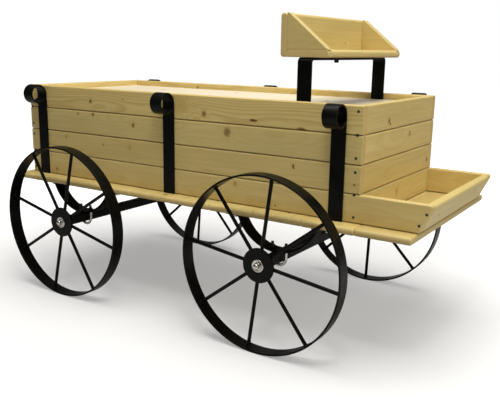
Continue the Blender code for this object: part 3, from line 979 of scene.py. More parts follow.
@dataclass
class Boards:
    """What the wooden sub-assemblies share: how a board's edges are eased and how it is dressed."""

    shop: Workshop
    ease: float = 0.0026
    end_ease: float = 0.0012
    proud: float = 0.0003
    joint_gap: float = 0.0003

    def dressed(
        self, node: str, bm: bmesh.types.BMesh, lay: Lay, knots: tuple[Knot, ...] = (), figure: float = 0.26,
        tone: float = 1.0,
    ) -> bpy.types.Object:
        """Dresses a board in its own pine and puts it in the cart.

        Args:
            node: the solid it is shown for.
            bm: its mesh.
            lay: how it lies.
            knots: its knots.
            figure: how strongly its grain shows.
            tone: how light its wood is, against the other boards.

        Returns:
            The piece.
        """
        low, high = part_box(node)
        seed = sum(ord(letter) * (i + 3) for i, letter in enumerate(node))
        pine = Pine(f"pine_{node}", lay, (low + high) / 2, knots, seed, figure, tone=tone)
        return self.shop.piece(f"{node}_planed", bm, pine.make(self.shop.effects), "pine", instead_of=(node,))

    def plank(self, node: str, lay: Lay, knots: tuple[Knot, ...] = (), figure: float = 0.26) -> bpy.types.Object:
        """A straight board with eased edges, set a hair in or out of line with its neighbours.

        Args:
            node: the solid it is shown for.
            lay: how it lies.
            knots: its knots.
            figure: how strongly its grain shows.

        Returns:
            The piece.
        """
        low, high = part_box(node)
        dice = random.Random(node)
        along, across, through = lay.value
        low[through] += dice.uniform(0, self.proud)
        high[through] -= dice.uniform(0, self.proud)
        low[across] += self.joint_gap
        high[across] -= self.joint_gap
        bm = block(low, high)
        soften(bm, edges_along(bm, along), self.ease)
        soften(bm, edges_over(bm, 60), self.end_ease, 2)
        return self.dressed(node, bm, lay, knots, figure)


@dataclass
class Floor(Boards):
    """The floor: boards across the cart whose ends stick out past the walls and are rounded over."""

    boards: int = 9
    width: float = 0.1397
    nose: float = 0.0088
    joint_ease: float = 0.0032
    front_nose: float = 0.006
    rip_gap: float = 0.0002
    uneven: float = 0.0016

    def build(self) -> None:
        """Makes every floor board; the rearmost node holds a full board and a ripped strip."""
        for number in range(1, self.boards + 1):
            node = f"floor_board_{number}"
            low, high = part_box(node)
            if number < self.boards:
                bm = self.board(low, high, node, front=number == 1)
            else:
                split = high.x - self.width
                bm = self.board(Vector((split + self.rip_gap, low.y, low.z)), high, node)
                strip = self.board(low, Vector((split - self.rip_gap, high.y, high.z)), node + "_strip")
                copied_into(bm, strip, Matrix.Identity(4))
                strip.free()
            knots = self.knots(number, high - low)
            # painted shade: the foremost board's wood is made 15% darker, for the dim light on the floor's front edge
            self.dressed(node, bm, Lay.ACROSS_FLOOR, knots, tone=0.85 if number == 1 else 1.0)

    def board(self, low: Vector, high: Vector, name: str, front: bool = False) -> bmesh.types.BMesh:
        """Shapes one floor board.

        Args:
            low: its lowest corner.
            high: its highest corner.
            name: what seeds its small differences.
            front: whether it is the foremost, with a nosed front edge.

        Returns:
            The mesh.
        """
        dice = random.Random(name)
        low, high = low.copy(), high.copy()
        low.y += dice.uniform(0.0, self.uneven)
        high.y -= dice.uniform(0.0, self.uneven)
        bm = block(low, high)
        soften(bm, edges_along(bm, 0), self.nose, 5)
        for level, ease in ((low.x, self.joint_ease), (high.x, self.front_nose if front else self.joint_ease)):
            outline = [e for e in bm.edges if all(abs(v.co.x - level) < SAME for v in e.verts)]
            soften(bm, outline, ease, 3)
        return bm

    @staticmethod
    def knots(number: int, size: Vector) -> tuple[Knot, ...]:
        """A few knots for a floor board, always the same for the same board.

        Args:
            number: the board's number, from the front.
            size: its size.

        Returns:
            Its knots.
        """
        dice = random.Random(900 + number)
        span, half = size.y / 2 - 0.02, size.x / 2 - 0.02
        return tuple(
            Knot(dice.uniform(-span, span), dice.uniform(-half, half), dice.uniform(0.002, 0.006)) for _ in range(3)
        )


@dataclass
class Walls(Boards):
    """The four walls of the bed, each of four boards, with the lowest side boards running on as the tray's sides."""

    rows: int = 4
    strong_figure: float = 0.6
    lip: float = 0.012
    reach: float = 0.0032
    ease: float = 0.0042
    right_knots: dict[int, tuple[Knot, ...]] = field(default_factory=lambda: {
        1: (Knot(-0.305, -0.004, 0.0045), Knot(0.12, -0.014, 0.006, 1.0, 0.8),
            Knot(0.047, 0.004, 0.015, 1.0, 0.1), Knot(0.277, -0.02, 0.0026, 0.25, 1.4),
            Knot(0.416, -0.032, 0.003, 0.25), Knot(-0.174, 0.008, 0.002)),
        2: (Knot(-0.361, 0.025, 0.003), Knot(-0.297, 0.0265, 0.0042), Knot(-0.135, 0.007, 0.006, 1.6),
            Knot(0.195, 0.014, 0.0095, 1.1, 0.75)),
        3: (Knot(-0.418, 0.02, 0.0058, 4.0, 0.8), Knot(-0.257, 0.008, 0.003, 1.0, 0.7),
            Knot(0.397, 0.014, 0.005, 1.8), Knot(-0.15, 0.012, 0.011, 3.0, 0.25), Knot(0.563, -0.012, 0.0022)),
        4: (Knot(-0.555, -0.018, 0.005, 2.6), Knot(0.135, 0.02, 0.007, 2.4, 0.6), Knot(0.26, -0.022, 0.002)),
    })
    front_knots: dict[int, tuple[Knot, ...]] = field(default_factory=lambda: {
        1: (Knot(-0.093, -0.012, 0.006, 1.4), Knot(-0.083, -0.02, 0.003)),
        2: (Knot(0.058, 0.012, 0.0075, 1.6, 0.7),),
        3: (Knot(0.212, -0.008, 0.006, 1.5),),
        4: (Knot(-0.01, 0.004, 0.009, 3.0, 0.7),),
    })

    def build(self) -> None:
        """Makes the sixteen wall boards."""
        for side in Side:
            for row in range(1, self.rows + 1):
                node = f"{side.word}_side_board_{row}"
                knots = self.right_knots[row] if side is Side.RIGHT else self.scattered(node, 0.5)
                if row == 1:
                    self.plank(node, Lay.ALONG_SIDE, knots, self.strong_figure)
                elif row < self.rows:
                    self.plank(node, Lay.ALONG_SIDE, knots)
                else:
                    self.dressed(node, self.tray_side(node), Lay.ALONG_SIDE, knots)
        for end in End:
            for row in range(1, self.rows + 1):
                node = f"{end.value}_wall_board_{row}"
                knots = self.front_knots[row] if end is End.FRONT else self.scattered(node, 0.2)
                self.plank(node, Lay.ACROSS_END, knots)

    @staticmethod
    def scattered(node: str, half: float) -> tuple[Knot, ...]:
        """Knots for a board whose own aren't known, always the same for the same board.

        Args:
            node: the board's node.
            half: how far from its middle they may lie.

        Returns:
            Its knots.
        """
        dice = random.Random(node)
        count = 4 if half > 0.3 else 2
        limits = ((-half, half), (-0.026, 0.026), (0.002, 0.006), (0.9, 2.6))
        return tuple(Knot(*(dice.uniform(least, most) for least, most in limits)) for _ in range(count))

    def tray_side(self, node: str) -> bmesh.types.BMesh:
        """The lowest side board: its front end leans out to the tray's lip.

        Args:
            node: the solid it is shown for.

        Returns:
            The mesh.
        """
        low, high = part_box(node)
        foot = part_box("floor_board_1")[1].x
        bm = block(low, high)
        for vert in bm.verts:
            if vert.co.x > high.x - SAME:
                vert.co.x = foot if vert.co.z < (low.z + high.z) / 2 else high.x + self.reach
        corner = [e for e in edges_along(bm, 1) if all(v.co.x > foot + 0.01 for v in e.verts)]
        soften(bm, corner, self.lip, 5)
        soften(bm, edges_over(bm, 45), self.ease, 3)
        return bm


@dataclass
class Tray(Boards):
    """The footboard tray's leaning front board, its top edge square to its face and rounded over outside."""

    lip: float = 0.007
    ease: float = 0.002
    lean: float = 25.0
    thickness: float = 0.01905

    def build(self) -> None:
        """Makes the leaning board."""
        node = "tray_front_board"
        low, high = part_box(node)
        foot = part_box("floor_board_1")[1].x
        lean = math.radians(self.lean)
        outer_level = high.z - self.thickness * math.sin(lean)
        bm = block(low, high)
        for vert in bm.verts:
            outer, top = vert.co.x > (low.x + high.x) / 2, vert.co.z > (low.z + high.z) / 2
            level = (outer_level if outer else high.z) if top else low.z
            inward = 0.0 if outer else self.thickness / math.cos(lean)
            vert.co.x = foot + (level - low.z) * math.tan(lean) - inward
            vert.co.z = level
        outer_top = [
            e for e in edges_along(bm, 1) if all(v.co.x > foot + 0.02 and v.co.z < high.z - 1e-4 for v in e.verts)
        ]
        soften(bm, outer_top, self.lip, 6)
        soften(bm, edges_over(bm, 45), self.ease, 3)
        self.dressed(node, bm, Lay.ACROSS_END, (Knot(0.12, 0.01, 0.003), Knot(-0.15, -0.008, 0.003)))


@dataclass
class Deck(Boards):
    """The display deck just below the rim: one sheet notched round the seat's two posts."""

    post_gap: float = 0.0006
    notch: float = 0.0072

    def build(self) -> None:
        """Makes the deck from a block with its four notch corners drawn in."""
        node = "display_deck"
        low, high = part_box(node)
        post_low, post_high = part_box("seat_bracket")
        bm = block(low, high)
        behind, ahead, inside = post_low.x - self.post_gap, post_high.x + self.post_gap, high.y - self.notch
        cuts = [((behind, 0, 0), (1, 0, 0)), ((ahead, 0, 0), (1, 0, 0))]
        cuts += [((0, side.value * inside, 0), (0, 1, 0)) for side in Side]
        for place, way in cuts:
            everything = list(bm.verts) + list(bm.edges) + list(bm.faces)
            bmesh.ops.bisect_plane(bm, geom=everything, plane_co=place, plane_no=way)
        notches = [
            face for face in bm.faces
            if behind < face.calc_center_median().x < ahead and abs(face.calc_center_median().y) > inside
        ]
        bmesh.ops.delete(bm, geom=notches, context="FACES")
        open_edges = [edge for edge in bm.edges if len(edge.link_faces) == 1]
        bmesh.ops.bridge_loops(bm, edges=[e for e in open_edges if e.verts[0].co.y > 0])
        bmesh.ops.bridge_loops(bm, edges=[e for e in open_edges if e.is_valid and e.verts[0].co.y < 0])
        bmesh.ops.recalc_face_normals(bm, faces=bm.faces)
        pine = Pine(
            "deck_sheet", Lay.ALONG_DECK, (low + high) / 2,
            (Knot(-0.31, 0.09, 0.007), Knot(0.08, -0.12, 0.006), Knot(0.33, 0.05, 0.008), Knot(-0.05, 0.15, 0.005)),
            seed=77, figure=0.18, pale=(0.85, 0.78, 0.59), honey=(0.7, 0.56, 0.34),
        )
        self.shop.piece("display_deck_sheet", bm, pine.make(self.shop.effects), "panel", instead_of=(node,))


# ---------------------------------------------------------------------------------------------------------------------
# Seat
# ---------------------------------------------------------------------------------------------------------------------


@dataclass
class Seat(Boards):
    """The bench: a back board, a plank with a rounded front and two sloping cheeks, on a bent steel bracket."""

    front_nose: float = 0.0085
    back_round: float = 0.0078
    back_ends: float = 0.004
    plank_ease: float = 0.0016
    slope_ease: float = 0.0035
    tip: float = 0.007
    # painted shade: how much darker the cheeks' wood is made, to dull the light on them
    cheek_tone: float = 0.86
    bracket_bend: float = 0.0092
    bracket_thickness: float = 0.0064

    def build(self) -> None:
        """Makes the four boards and the bracket."""
        self.back()
        self.plank_with_nose()
        for side in Side:
            self.cheek(side)
        self.bracket()

    def back(self) -> None:
        """The back board: its long edges are rounded, except the one that meets the plank."""
        node = "seat_back"
        low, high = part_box(node)
        bm = block(low, high)
        round_over = [
            e for e in edges_along(bm, 1) if e.verts[0].co.z > low.z + 1e-4 or e.verts[0].co.x < high.x - 1e-4
        ]
        soften(bm, round_over, self.back_round, 5)
        soften(bm, edges_over(bm, 60), self.back_ends, 4)
        self.dressed(node, bm, Lay.ACROSS_END, (Knot(0.1, -0.014, 0.0022), Knot(-0.12, 0.01, 0.002)))

    def plank_with_nose(self) -> None:
        """The seat plank, nosed along its front edge."""
        node = "seat_plank"
        low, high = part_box(node)
        bm = block(low, high)
        nose = [e for e in edges_along(bm, 1) if e.verts[0].co.x > high.x - 1e-4]
        soften(bm, nose, self.front_nose, 6)
        soften(bm, edges_over(bm, 60), self.plank_ease, 2)
        self.dressed(node, bm, Lay.ACROSS_FLOOR, (Knot(0.002, -0.035, 0.0035), Knot(0.16, -0.02, 0.002)))

    def cheek(self, side: Side) -> None:
        """A cheek: a board cut to a slope from the back's top to the plank's front.

        Args:
            side: which end of the bench it closes.
        """
        node = f"{side.word}_seat_cheek"
        low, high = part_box(node)
        bm = block(low, high)
        for vert in bm.verts:
            if vert.co.x > high.x - SAME and vert.co.z > high.z - SAME:
                vert.co.x = low.x + self.tip
        runs = [(e, e.verts[0].co - e.verts[1].co) for e in bm.edges]
        slope = [e for e, run in runs if abs(run.y) < SAME and abs(run.x) > 0.01 and abs(run.z) > 0.01]
        soften(bm, slope, self.slope_ease, 4)
        # painted shade: the cheek's wood is darkened
        self.dressed(node, bm, Lay.ALONG_SIDE, tone=self.cheek_tone)

    def bracket(self) -> None:
        """The flat bar bent square over two corners, its posts down inside the walls."""
        node = "seat_bracket"
        low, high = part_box(node)
        width, half = high.x - low.x, high.y - self.bracket_thickness / 2
        top = high.z - self.bracket_thickness / 2
        quarter, post = math.pi / 2, top - self.bracket_bend - low.z
        bar = BarBender(flat_section(self.bracket_thickness, width, 0.001), Vector((-half, low.z, 0)), quarter)
        bar.straight(post).bend(self.bracket_bend, -quarter)
        bar.straight(2 * (half - self.bracket_bend)).bend(self.bracket_bend, -quarter).straight(post)
        bm = bar.stand(Vector((0, 1, 0)), Vector(((low.x + high.x) / 2, 0, 0)))
        self.shop.piece("seat_bracket_bar", bm, self.shop.black, "black_steel", instead_of=(node,))


# ---------------------------------------------------------------------------------------------------------------------
# Ironwork
# ---------------------------------------------------------------------------------------------------------------------


@dataclass
class StakeStraps:
    """Six straps up the outside of the bed, their tops rolled outwards into a loop."""

    shop: Workshop
    thickness: float = 0.0048
    corner: float = 0.0009
    loop: float = 0.058
    tip_gap: float = 0.0005
    places: tuple[str, ...] = ("rear", "middle", "front")

    def build(self) -> None:
        """Makes the six straps."""
        for side in Side:
            for place in self.places:
                self.strap(side, place)

    def strap(self, side: Side, place: str) -> None:
        """Rolls one strap.

        Args:
            side: the side it stands on.
            place: which of the three it is.
        """
        node = f"{side.word}_{place}_stake_strap"
        low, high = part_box(node)
        wall = low.y if side is Side.LEFT else -high.y
        outer, start = self.loop / 2, Vector((wall + self.thickness / 2, low.z, 0))
        reach = outer - self.thickness - self.tip_gap
        closing = 1.5 * math.pi + math.asin(reach / outer) - math.radians(0.6)
        bar = BarBender(flat_section(self.thickness, high.x - low.x, self.corner), start, math.pi / 2)
        bar.straight(high.z - outer - low.z).bend(outer - self.thickness / 2, -closing, math.radians(5))
        bm = bar.stand(Vector((0, side.value, 0)), Vector(((low.x + high.x) / 2, 0, 0)))
        self.shop.piece(f"{node}_rolled", bm, self.shop.black, "black_steel", instead_of=(node,))


@dataclass
class RunningGear:
    """Axles, bow springs and the U-bolts that hold them together, with their nuts and washers."""

    shop: Workshop
    spring_thickness: float = 0.0064
    spring_radius: float = 0.1238
    foot_radius: float = 0.0092
    rod: float = 0.008
    rod_end: float = 0.0008
    spindle: float = 0.0127
    shoulder_gap: float = 0.0015
    axle_ease: float = 0.0018
    nut_flats: float = 0.0127
    nut_height: float = 0.0065
    washer: float = 0.017
    washer_thickness: float = 0.0014
    crown: float = 0.0082
    crown_rise: float = 0.0048

    def build(self) -> None:
        """Makes both axles and everything clamped to them."""
        for end in End:
            self.axle(end)
            for side in Side:
                self.spring(end, side)
                self.clamp(end, side)
                self.cap(end, side)

    def axle(self, end: End) -> None:
        """A square bar with rolled edges and a spindle at each end.

        Args:
            end: which end of the cart it is under.
        """
        node = f"{end.value}_axle"
        low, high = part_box(node)
        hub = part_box(f"{end.value}_left_wheel_spider")
        shoulder = hub[0].y - self.shoulder_gap
        bm = block(Vector((low.x, -shoulder, low.z)), Vector((high.x, shoulder, high.z)))
        soften(bm, edges_along(bm, 1), self.axle_ease, 3)
        soften(bm, edges_over(bm, 60), self.rod_end, 1)
        radius, centre = self.spindle / 2, 0.0001
        rod = turned([(centre, -high.y), (radius, -high.y), (radius, high.y), (centre, high.y)], 24)
        copied_into(bm, rod, Matrix.Translation((low + high) / 2))
        rod.free()
        self.shop.piece(f"{node}_bar", bm, self.shop.black_gear, "black_steel", instead_of=(node,))

    def spring(self, end: End, side: Side) -> None:
        """A bow of flat spring steel from one foot under the floor to the other.

        Args:
            end: which axle it stands on.
            side: which side of the cart it is on.
        """
        node = f"{end.value}_{side.word}_spring"
        low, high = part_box(node)
        rise = high.z - low.z - self.spring_thickness
        both, half = self.spring_radius + self.foot_radius, (high.x - low.x) / 2
        sweep = math.acos(1 - rise / both)
        foot = half - both * math.sin(sweep)
        start = Vector((-half, rise + self.spring_thickness / 2, 0))
        bar = BarBender(flat_section(self.spring_thickness, high.y - low.y, 0.001), start, 0.0)
        bar.straight(foot).bend(self.foot_radius, -sweep).bend(self.spring_radius, 2 * sweep, math.radians(3))
        bar.bend(self.foot_radius, -sweep).straight(foot)
        at = Vector(((low.x + high.x) / 2, (low.y + high.y) / 2, low.z))
        bm = bar.stand(Vector((1, 0, 0)), at)
        self.shop.piece(f"{node}_bow", bm, self.shop.black_gear, "spring_steel", instead_of=(node,))

    def clamp(self, end: End, side: Side) -> None:
        """A round-bottomed U-bolt, and the nut and washer on each of its legs.

        Args:
            end: which axle it goes round.
            side: which side of the cart it is on.
        """
        node = f"{end.value}_{side.word}_axle_clamp"
        low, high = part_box(node)
        leg = (high.x - low.x - self.rod) / 2
        bend_z = low.z + self.rod / 2 + leg
        middle = Vector(((low.x + high.x) / 2, (low.y + high.y) / 2, 0))
        bar = BarBender(round_section(self.rod / 2), Vector((-leg, high.z, 0)), -math.pi / 2)
        bar.straight(high.z - bend_z).bend(leg, math.pi, math.radians(8)).straight(high.z - bend_z)
        bm = bar.stand(Vector((1, 0, 0)), middle)
        ends = [f for f in bm.faces if f.normal.z > 0.9 and f.calc_center_median().z > high.z - 1e-4]
        soften(bm, [e for f in ends for e in f.edges], self.rod_end, 1)
        self.shop.piece(f"{node}_bolt", bm, self.shop.threaded, "zinc", instead_of=(node,))
        # the washers sit where the spring's upper face has risen to at the legs
        inner = self.spring_radius - self.spring_thickness / 2
        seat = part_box(f"{end.value}_{side.word}_spring")[0].z + self.spring_thickness
        seat += inner - math.sqrt(inner ** 2 - leg ** 2)
        nuts = bmesh.new()
        for way in (-1, 1):
            self.nut(nuts, middle + Vector((way * leg, 0, seat - 0.0004)), UP, way * math.radians(9))
        self.shop.piece(f"{node}_nuts", nuts, self.shop.screw, "black_steel")

    def nut(self, bm: bmesh.types.BMesh, at: Vector, up: Vector, turn: float) -> None:
        """Adds a washer and a chamfered hexagon nut.

        Args:
            bm: the mesh that takes them.
            at: where the washer's underside sits.
            up: the way the bolt points.
            turn: how far the nut is turned.
        """
        spare, thin, across = bmesh.new(), self.washer_thickness, self.nut_flats / math.sqrt(3)
        bmesh.ops.create_cone(
            spare, cap_ends=True, segments=20, radius1=self.washer / 2, radius2=self.washer / 2, depth=thin,
            matrix=Matrix.Translation((0, 0, thin / 2)),
        )
        hexagon = bmesh.ops.create_cone(
            spare, cap_ends=True, segments=6, radius1=across, radius2=across, depth=self.nut_height,
            matrix=Matrix.Translation((0, 0, thin + self.nut_height / 2)),
        )["verts"]
        top = [e for e in spare.edges if all(v in hexagon and v.co.z > self.nut_height for v in e.verts)]
        soften(spare, top, 0.0009, 2)
        copied_into(bm, spare, Matrix.Translation(at) @ upright(up) @ Matrix.Rotation(turn, 4, "Z"))
        spare.free()

    def cap(self, end: End, side: Side) -> None:
        """A domed push-on cap: a dished flange and a crown over the spindle's end.

        Args:
            end: which axle it is on.
            side: which side of the cart it is on.
        """
        node = f"{end.value}_{side.word}_axle_cap"
        low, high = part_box(node)
        rim, height, dome = (high.x - low.x) / 2, high.y - low.y, self.crown
        spring_line = height - self.crown_rise
        flange = [
            (0.0066, 0.0), (rim - 0.0015, 0.0), (rim - 0.0003, 0.0004), (rim, 0.0012), (rim - 0.0006, 0.002),
            (rim - 0.0022, 0.0022), (rim - 0.0036, 0.0018), (dome + 0.0022, 0.0012), (dome + 0.0006, 0.0016),
        ]
        crown = [(dome, 0.003), (dome - 0.0004, spring_line)]
        crown += [
            (dome * 0.95 * math.cos(a), spring_line + self.crown_rise * math.sin(a)) for a in (0.45, 0.8, 1.1, 1.35)
        ]
        inside = [(0.0002, height), (0.0002, height - 0.0014), (0.0066, height - 0.0052)]
        bm = turned(flange + crown + inside, 40)
        at = Vector(((low.x + high.x) / 2, low.y if side is Side.LEFT else high.y, (low.z + high.z) / 2))
        flip = Matrix.Diagonal((1, side.value, 1, 1))
        bmesh.ops.transform(bm, matrix=Matrix.Translation(at) @ flip, verts=bm.verts)
        bmesh.ops.recalc_face_normals(bm, faces=bm.faces)
        self.shop.piece(f"{node}_crown", bm, self.shop.zinc, "zinc", instead_of=(node,))


@dataclass
class Wheels:
    """Four steel wheels: a rolled hoop, eight welded spokes, a barrel and a disc on the outer side."""

    shop: Workshop
    hoop_thickness: float = 0.0048
    spokes: int = 8
    spoke_radius: float = 0.00475
    barrel: float = 0.021
    disc: float = 0.0445
    disc_thickness: float = 0.005
    bore: float = 0.0064
    soft: float = 0.0009
    hoop_corner: float = 0.0011
    bead: float = 0.0032
    first_spoke: dict[tuple[str, str], float] = field(default_factory=lambda: {
        ("front", "left"): -1.8, ("front", "right"): -7.6, ("rear", "left"): -3.8, ("rear", "right"): -13.1,
    })

    def build(self) -> None:
        """Makes the four wheels."""
        for end in End:
            for side in Side:
                self.hoop(end, side)
                self.spider(end, side)

    def hoop(self, end: End, side: Side) -> None:
        """The flat hoop, with its edges softened.

        Args:
            end: the wheel's end of the cart.
            side: its side of the cart.
        """
        body = f"{end.value}_{side.word}_wheel"
        node = body + "_hoop"
        low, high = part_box(node)
        outer, half = (high.z - low.z) / 2, (high.y - low.y) / 2
        inner = outer - self.hoop_thickness
        square = [(inner, -half), (outer, -half), (outer, half), (inner, half)]
        bm = turned(rounded_profile(square, self.hoop_corner), 144)
        bmesh.ops.translate(bm, verts=bm.verts, vec=(low + high) / 2)
        self.shop.piece(node + "_rolled", bm, self.shop.black, "black_steel", body, (node,))

    def spider(self, end: End, side: Side) -> None:
        """The hub with its spokes and weld beads.

        Args:
            end: the wheel's end of the cart.
            side: its side of the cart.
        """
        body = f"{end.value}_{side.word}_wheel"
        node = body + "_spider"
        hub_low, hub_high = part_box(node)
        hoop_low, hoop_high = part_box(body + "_hoop")
        centre = (hoop_low + hoop_high) / 2
        inner = (hoop_high.z - hoop_low.z) / 2 - self.hoop_thickness
        back, face = (hub_low.y, hub_high.y) if side is Side.LEFT else (-hub_high.y, -hub_low.y)
        back, face = back - abs(centre.y), face - abs(centre.y)
        step, soft, barrel, disc = face - self.disc_thickness, self.soft, self.barrel, self.disc
        profile = [
            (self.bore, back), (barrel - soft, back), (barrel, back + soft), (barrel, step - 0.002),
            (barrel + 0.002, step), (disc - soft, step), (disc - 0.2 * soft, step + 0.3 * soft),
            (disc, step + 1.2 * soft), (disc, face - 1.2 * soft), (disc - 0.2 * soft, face - 0.3 * soft),
            (disc - soft, face), (self.bore + 0.0006, face), (self.bore, face - 0.0006),
        ]
        bm = turned(profile, 64)
        # each spoke starts inside the barrel and ends inside the hoop, with a bead of weld at both ends
        length = inner - barrel + 0.0035
        rods = (
            (barrel - 0.003 + length / 2, self.spoke_radius, self.spoke_radius, length),
            (barrel + 0.0014, 0.0078, 0.005, self.bead),
            (inner - 0.0014, 0.005, 0.0072, self.bead),
        )
        for number in range(self.spokes):
            angle = 2 * math.pi * number / self.spokes
            turn = Matrix.Rotation(-angle, 4, "Y") @ Matrix.Rotation(math.pi / 2, 4, "Y")
            for place, near, far, depth in rods:
                bmesh.ops.create_cone(
                    bm, cap_ends=True, segments=16, radius1=near, radius2=far, depth=depth,
                    matrix=turn @ Matrix.Translation((0, 0, place)),
                )
        flip = Matrix.Diagonal((1, side.value, 1, 1))
        spin = Matrix.Rotation(-math.radians(self.first_spoke[end.value, side.word]), 4, "Y")
        bmesh.ops.transform(bm, matrix=Matrix.Translation(centre) @ flip @ spin, verts=bm.verts)
        bmesh.ops.recalc_face_normals(bm, faces=bm.faces)
        self.shop.piece(node + "_welded", bm, self.shop.black, "black_steel", body, (node,))


# ---------------------------------------------------------------------------------------------------------------------
# Fixings
# ---------------------------------------------------------------------------------------------------------------------


@dataclass
class Fixings:
    """The screws and nuts that show: corners, straps, tray, seat and the underside."""

    shop: Workshop
    head: float = 0.0043
    strap_head: float = 0.0046
    strap_lift: float = 0.0016
    from_end: float = 0.0095
    corner_levels: tuple[float, ...] = (0.612, 0.5578, 0.5025, 0.4685, 0.4165, 0.3612)
    strap_rows: tuple[tuple[float, float], ...] = (
        (0.007, 0.5226), (-0.012, 0.4665), (0.0055, 0.409), (-0.008, 0.3655)
    )

    def build(self) -> None:
        """Makes every group of screws."""
        self.corners()
        self.straps()
        self.underside()
        self.seat()

    def screw(
        self, bm: bmesh.types.BMesh, at: Vector, out: Vector, turn: float, radius: float = 0.0, lift: float = FLUSH
    ) -> None:
        """Adds a screw head with a recess.

        Args:
            bm: the mesh that takes it.
            at: its place on the surface.
            out: the way it faces.
            turn: how far it is turned.
            radius: its head's radius, or 0 for a wood screw's.
            lift: how high its head stands.
        """
        spare, radius, below = bmesh.new(), radius or self.head, 0.0012
        bmesh.ops.create_cone(
            spare, cap_ends=True, segments=16, radius1=radius, radius2=radius * 0.8, depth=lift + below,
            matrix=Matrix.Translation((0, 0, (lift - below) / 2)),
        )
        top = max(spare.faces, key=lambda f: f.calc_center_median().z)
        bmesh.ops.inset_region(spare, faces=[top], thickness=radius * 0.42, depth=0.0)
        sunk = bmesh.ops.extrude_face_region(spare, geom=[top])["geom"]
        bmesh.ops.translate(spare, verts=verts_of(sunk), vec=(0, 0, -0.0011))
        bmesh.ops.scale(spare, verts=verts_of(sunk), vec=(0.6, 0.6, 1.0))
        copied_into(bm, spare, Matrix.Translation(at) @ upright(out) @ Matrix.Rotation(turn, 4, "Z"))
        spare.free()

    def corners(self) -> None:
        """Screws through the side boards into the end walls, and two into the tray's front board."""
        for side in Side:
            bm = bmesh.new()
            dice = random.Random(31 + side.value)
            out = Vector((0, side.value, 0))
            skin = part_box(f"{side.word}_side_board_2")
            face = skin[1].y if side is Side.LEFT else skin[0].y
            for place in (skin[1].x - 0.014, skin[0].x + self.from_end):
                for level in self.corner_levels:
                    at = Vector((place + dice.uniform(-0.0012, 0.0012), face, level + dice.uniform(-0.001, 0.001)))
                    self.screw(bm, at, out, dice.uniform(0, 3))
            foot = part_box("floor_board_1")[1].x
            for along, level in ((0.0, 0.366), (0.0155, 0.394)):
                self.screw(bm, Vector((foot + along, face, level)), out, dice.uniform(0, 3))
            self.shop.piece(f"{side.word}_corner_screws", bm, self.shop.screw, "black_steel")

    def straps(self) -> None:
        """Pan-head screws staggered up each strap."""
        for side in Side:
            bm = bmesh.new()
            for place in StakeStraps.places:
                low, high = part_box(f"{side.word}_{place}_stake_strap")
                wall = low.y if side is Side.LEFT else high.y
                for shift, level in self.strap_rows:
                    at = Vector(((low.x + high.x) / 2 + shift, wall + side.value * StakeStraps.thickness, level))
                    out = Vector((0, side.value, 0))
                    self.screw(bm, at, out, shift * 400, self.strap_head, self.strap_lift)
            self.shop.piece(f"{side.word}_strap_screws", bm, self.shop.black_gear, "black_steel")

    def underside(self) -> None:
        """Screws up through the floor into the walls, and the nuts of the spring feet."""
        bm = bmesh.new()
        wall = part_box("left_side_board_2")
        row = (wall[0].y + wall[1].y) / 2
        for number in range(1, Floor.boards + 1):
            low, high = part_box(f"floor_board_{number}")
            for side in Side:
                for share in (0.2, 0.8):
                    at = Vector((low.x + (high.x - low.x) * share, side.value * row, low.z))
                    self.screw(bm, at, DOWN, number + share)
        self.shop.piece("floor_screws", bm, self.shop.screw, "black_steel")
        nuts = bmesh.new()
        gear = RunningGear(self.shop)
        for end in End:
            for side in Side:
                low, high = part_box(f"{end.value}_{side.word}_spring")
                for x in (low.x + 0.018, high.x - 0.018):
                    at = Vector((x, (low.y + high.y) / 2, high.z - gear.spring_thickness))
                    gear.nut(nuts, at, DOWN, x * 9)
        self.shop.piece("spring_foot_nuts", nuts, self.shop.zinc, "zinc")

    def seat(self) -> None:
        """Screws through the bench's back and from under the plank, and the bolt that holds the bracket."""
        bm, bolt = bmesh.new(), bmesh.new()
        back, bar, plank = (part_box(f"seat_{word}") for word in ("back", "bracket", "plank"))
        for side in Side:
            for level in (0.02, 0.055, 0.088):
                at = Vector((back[0].x, side.value * (back[1].y - self.from_end), back[0].z + level))
                self.screw(bm, at, Vector((-1, 0, 0)), level * 50)
            for x in (plank[0].x + 0.015, plank[1].x - 0.022):
                at = Vector((x, side.value * (plank[1].y - self.from_end), plank[0].z))
                self.screw(bm, at, DOWN, x * 30)
        under = Vector(((bar[0].x + bar[1].x) / 2, -0.057, bar[1].z - Seat.bracket_thickness))
        self.screw(bolt, under, DOWN, 0.4, 0.0068, 0.0072)
        self.shop.piece("seat_screws", bm, self.shop.screw, "black_steel")
        self.shop.piece("seat_bracket_bolt", bolt, self.shop.black, "black_steel")


# ---------------------------------------------------------------------------------------------------------------------
# Studio
# ---------------------------------------------------------------------------------------------------------------------


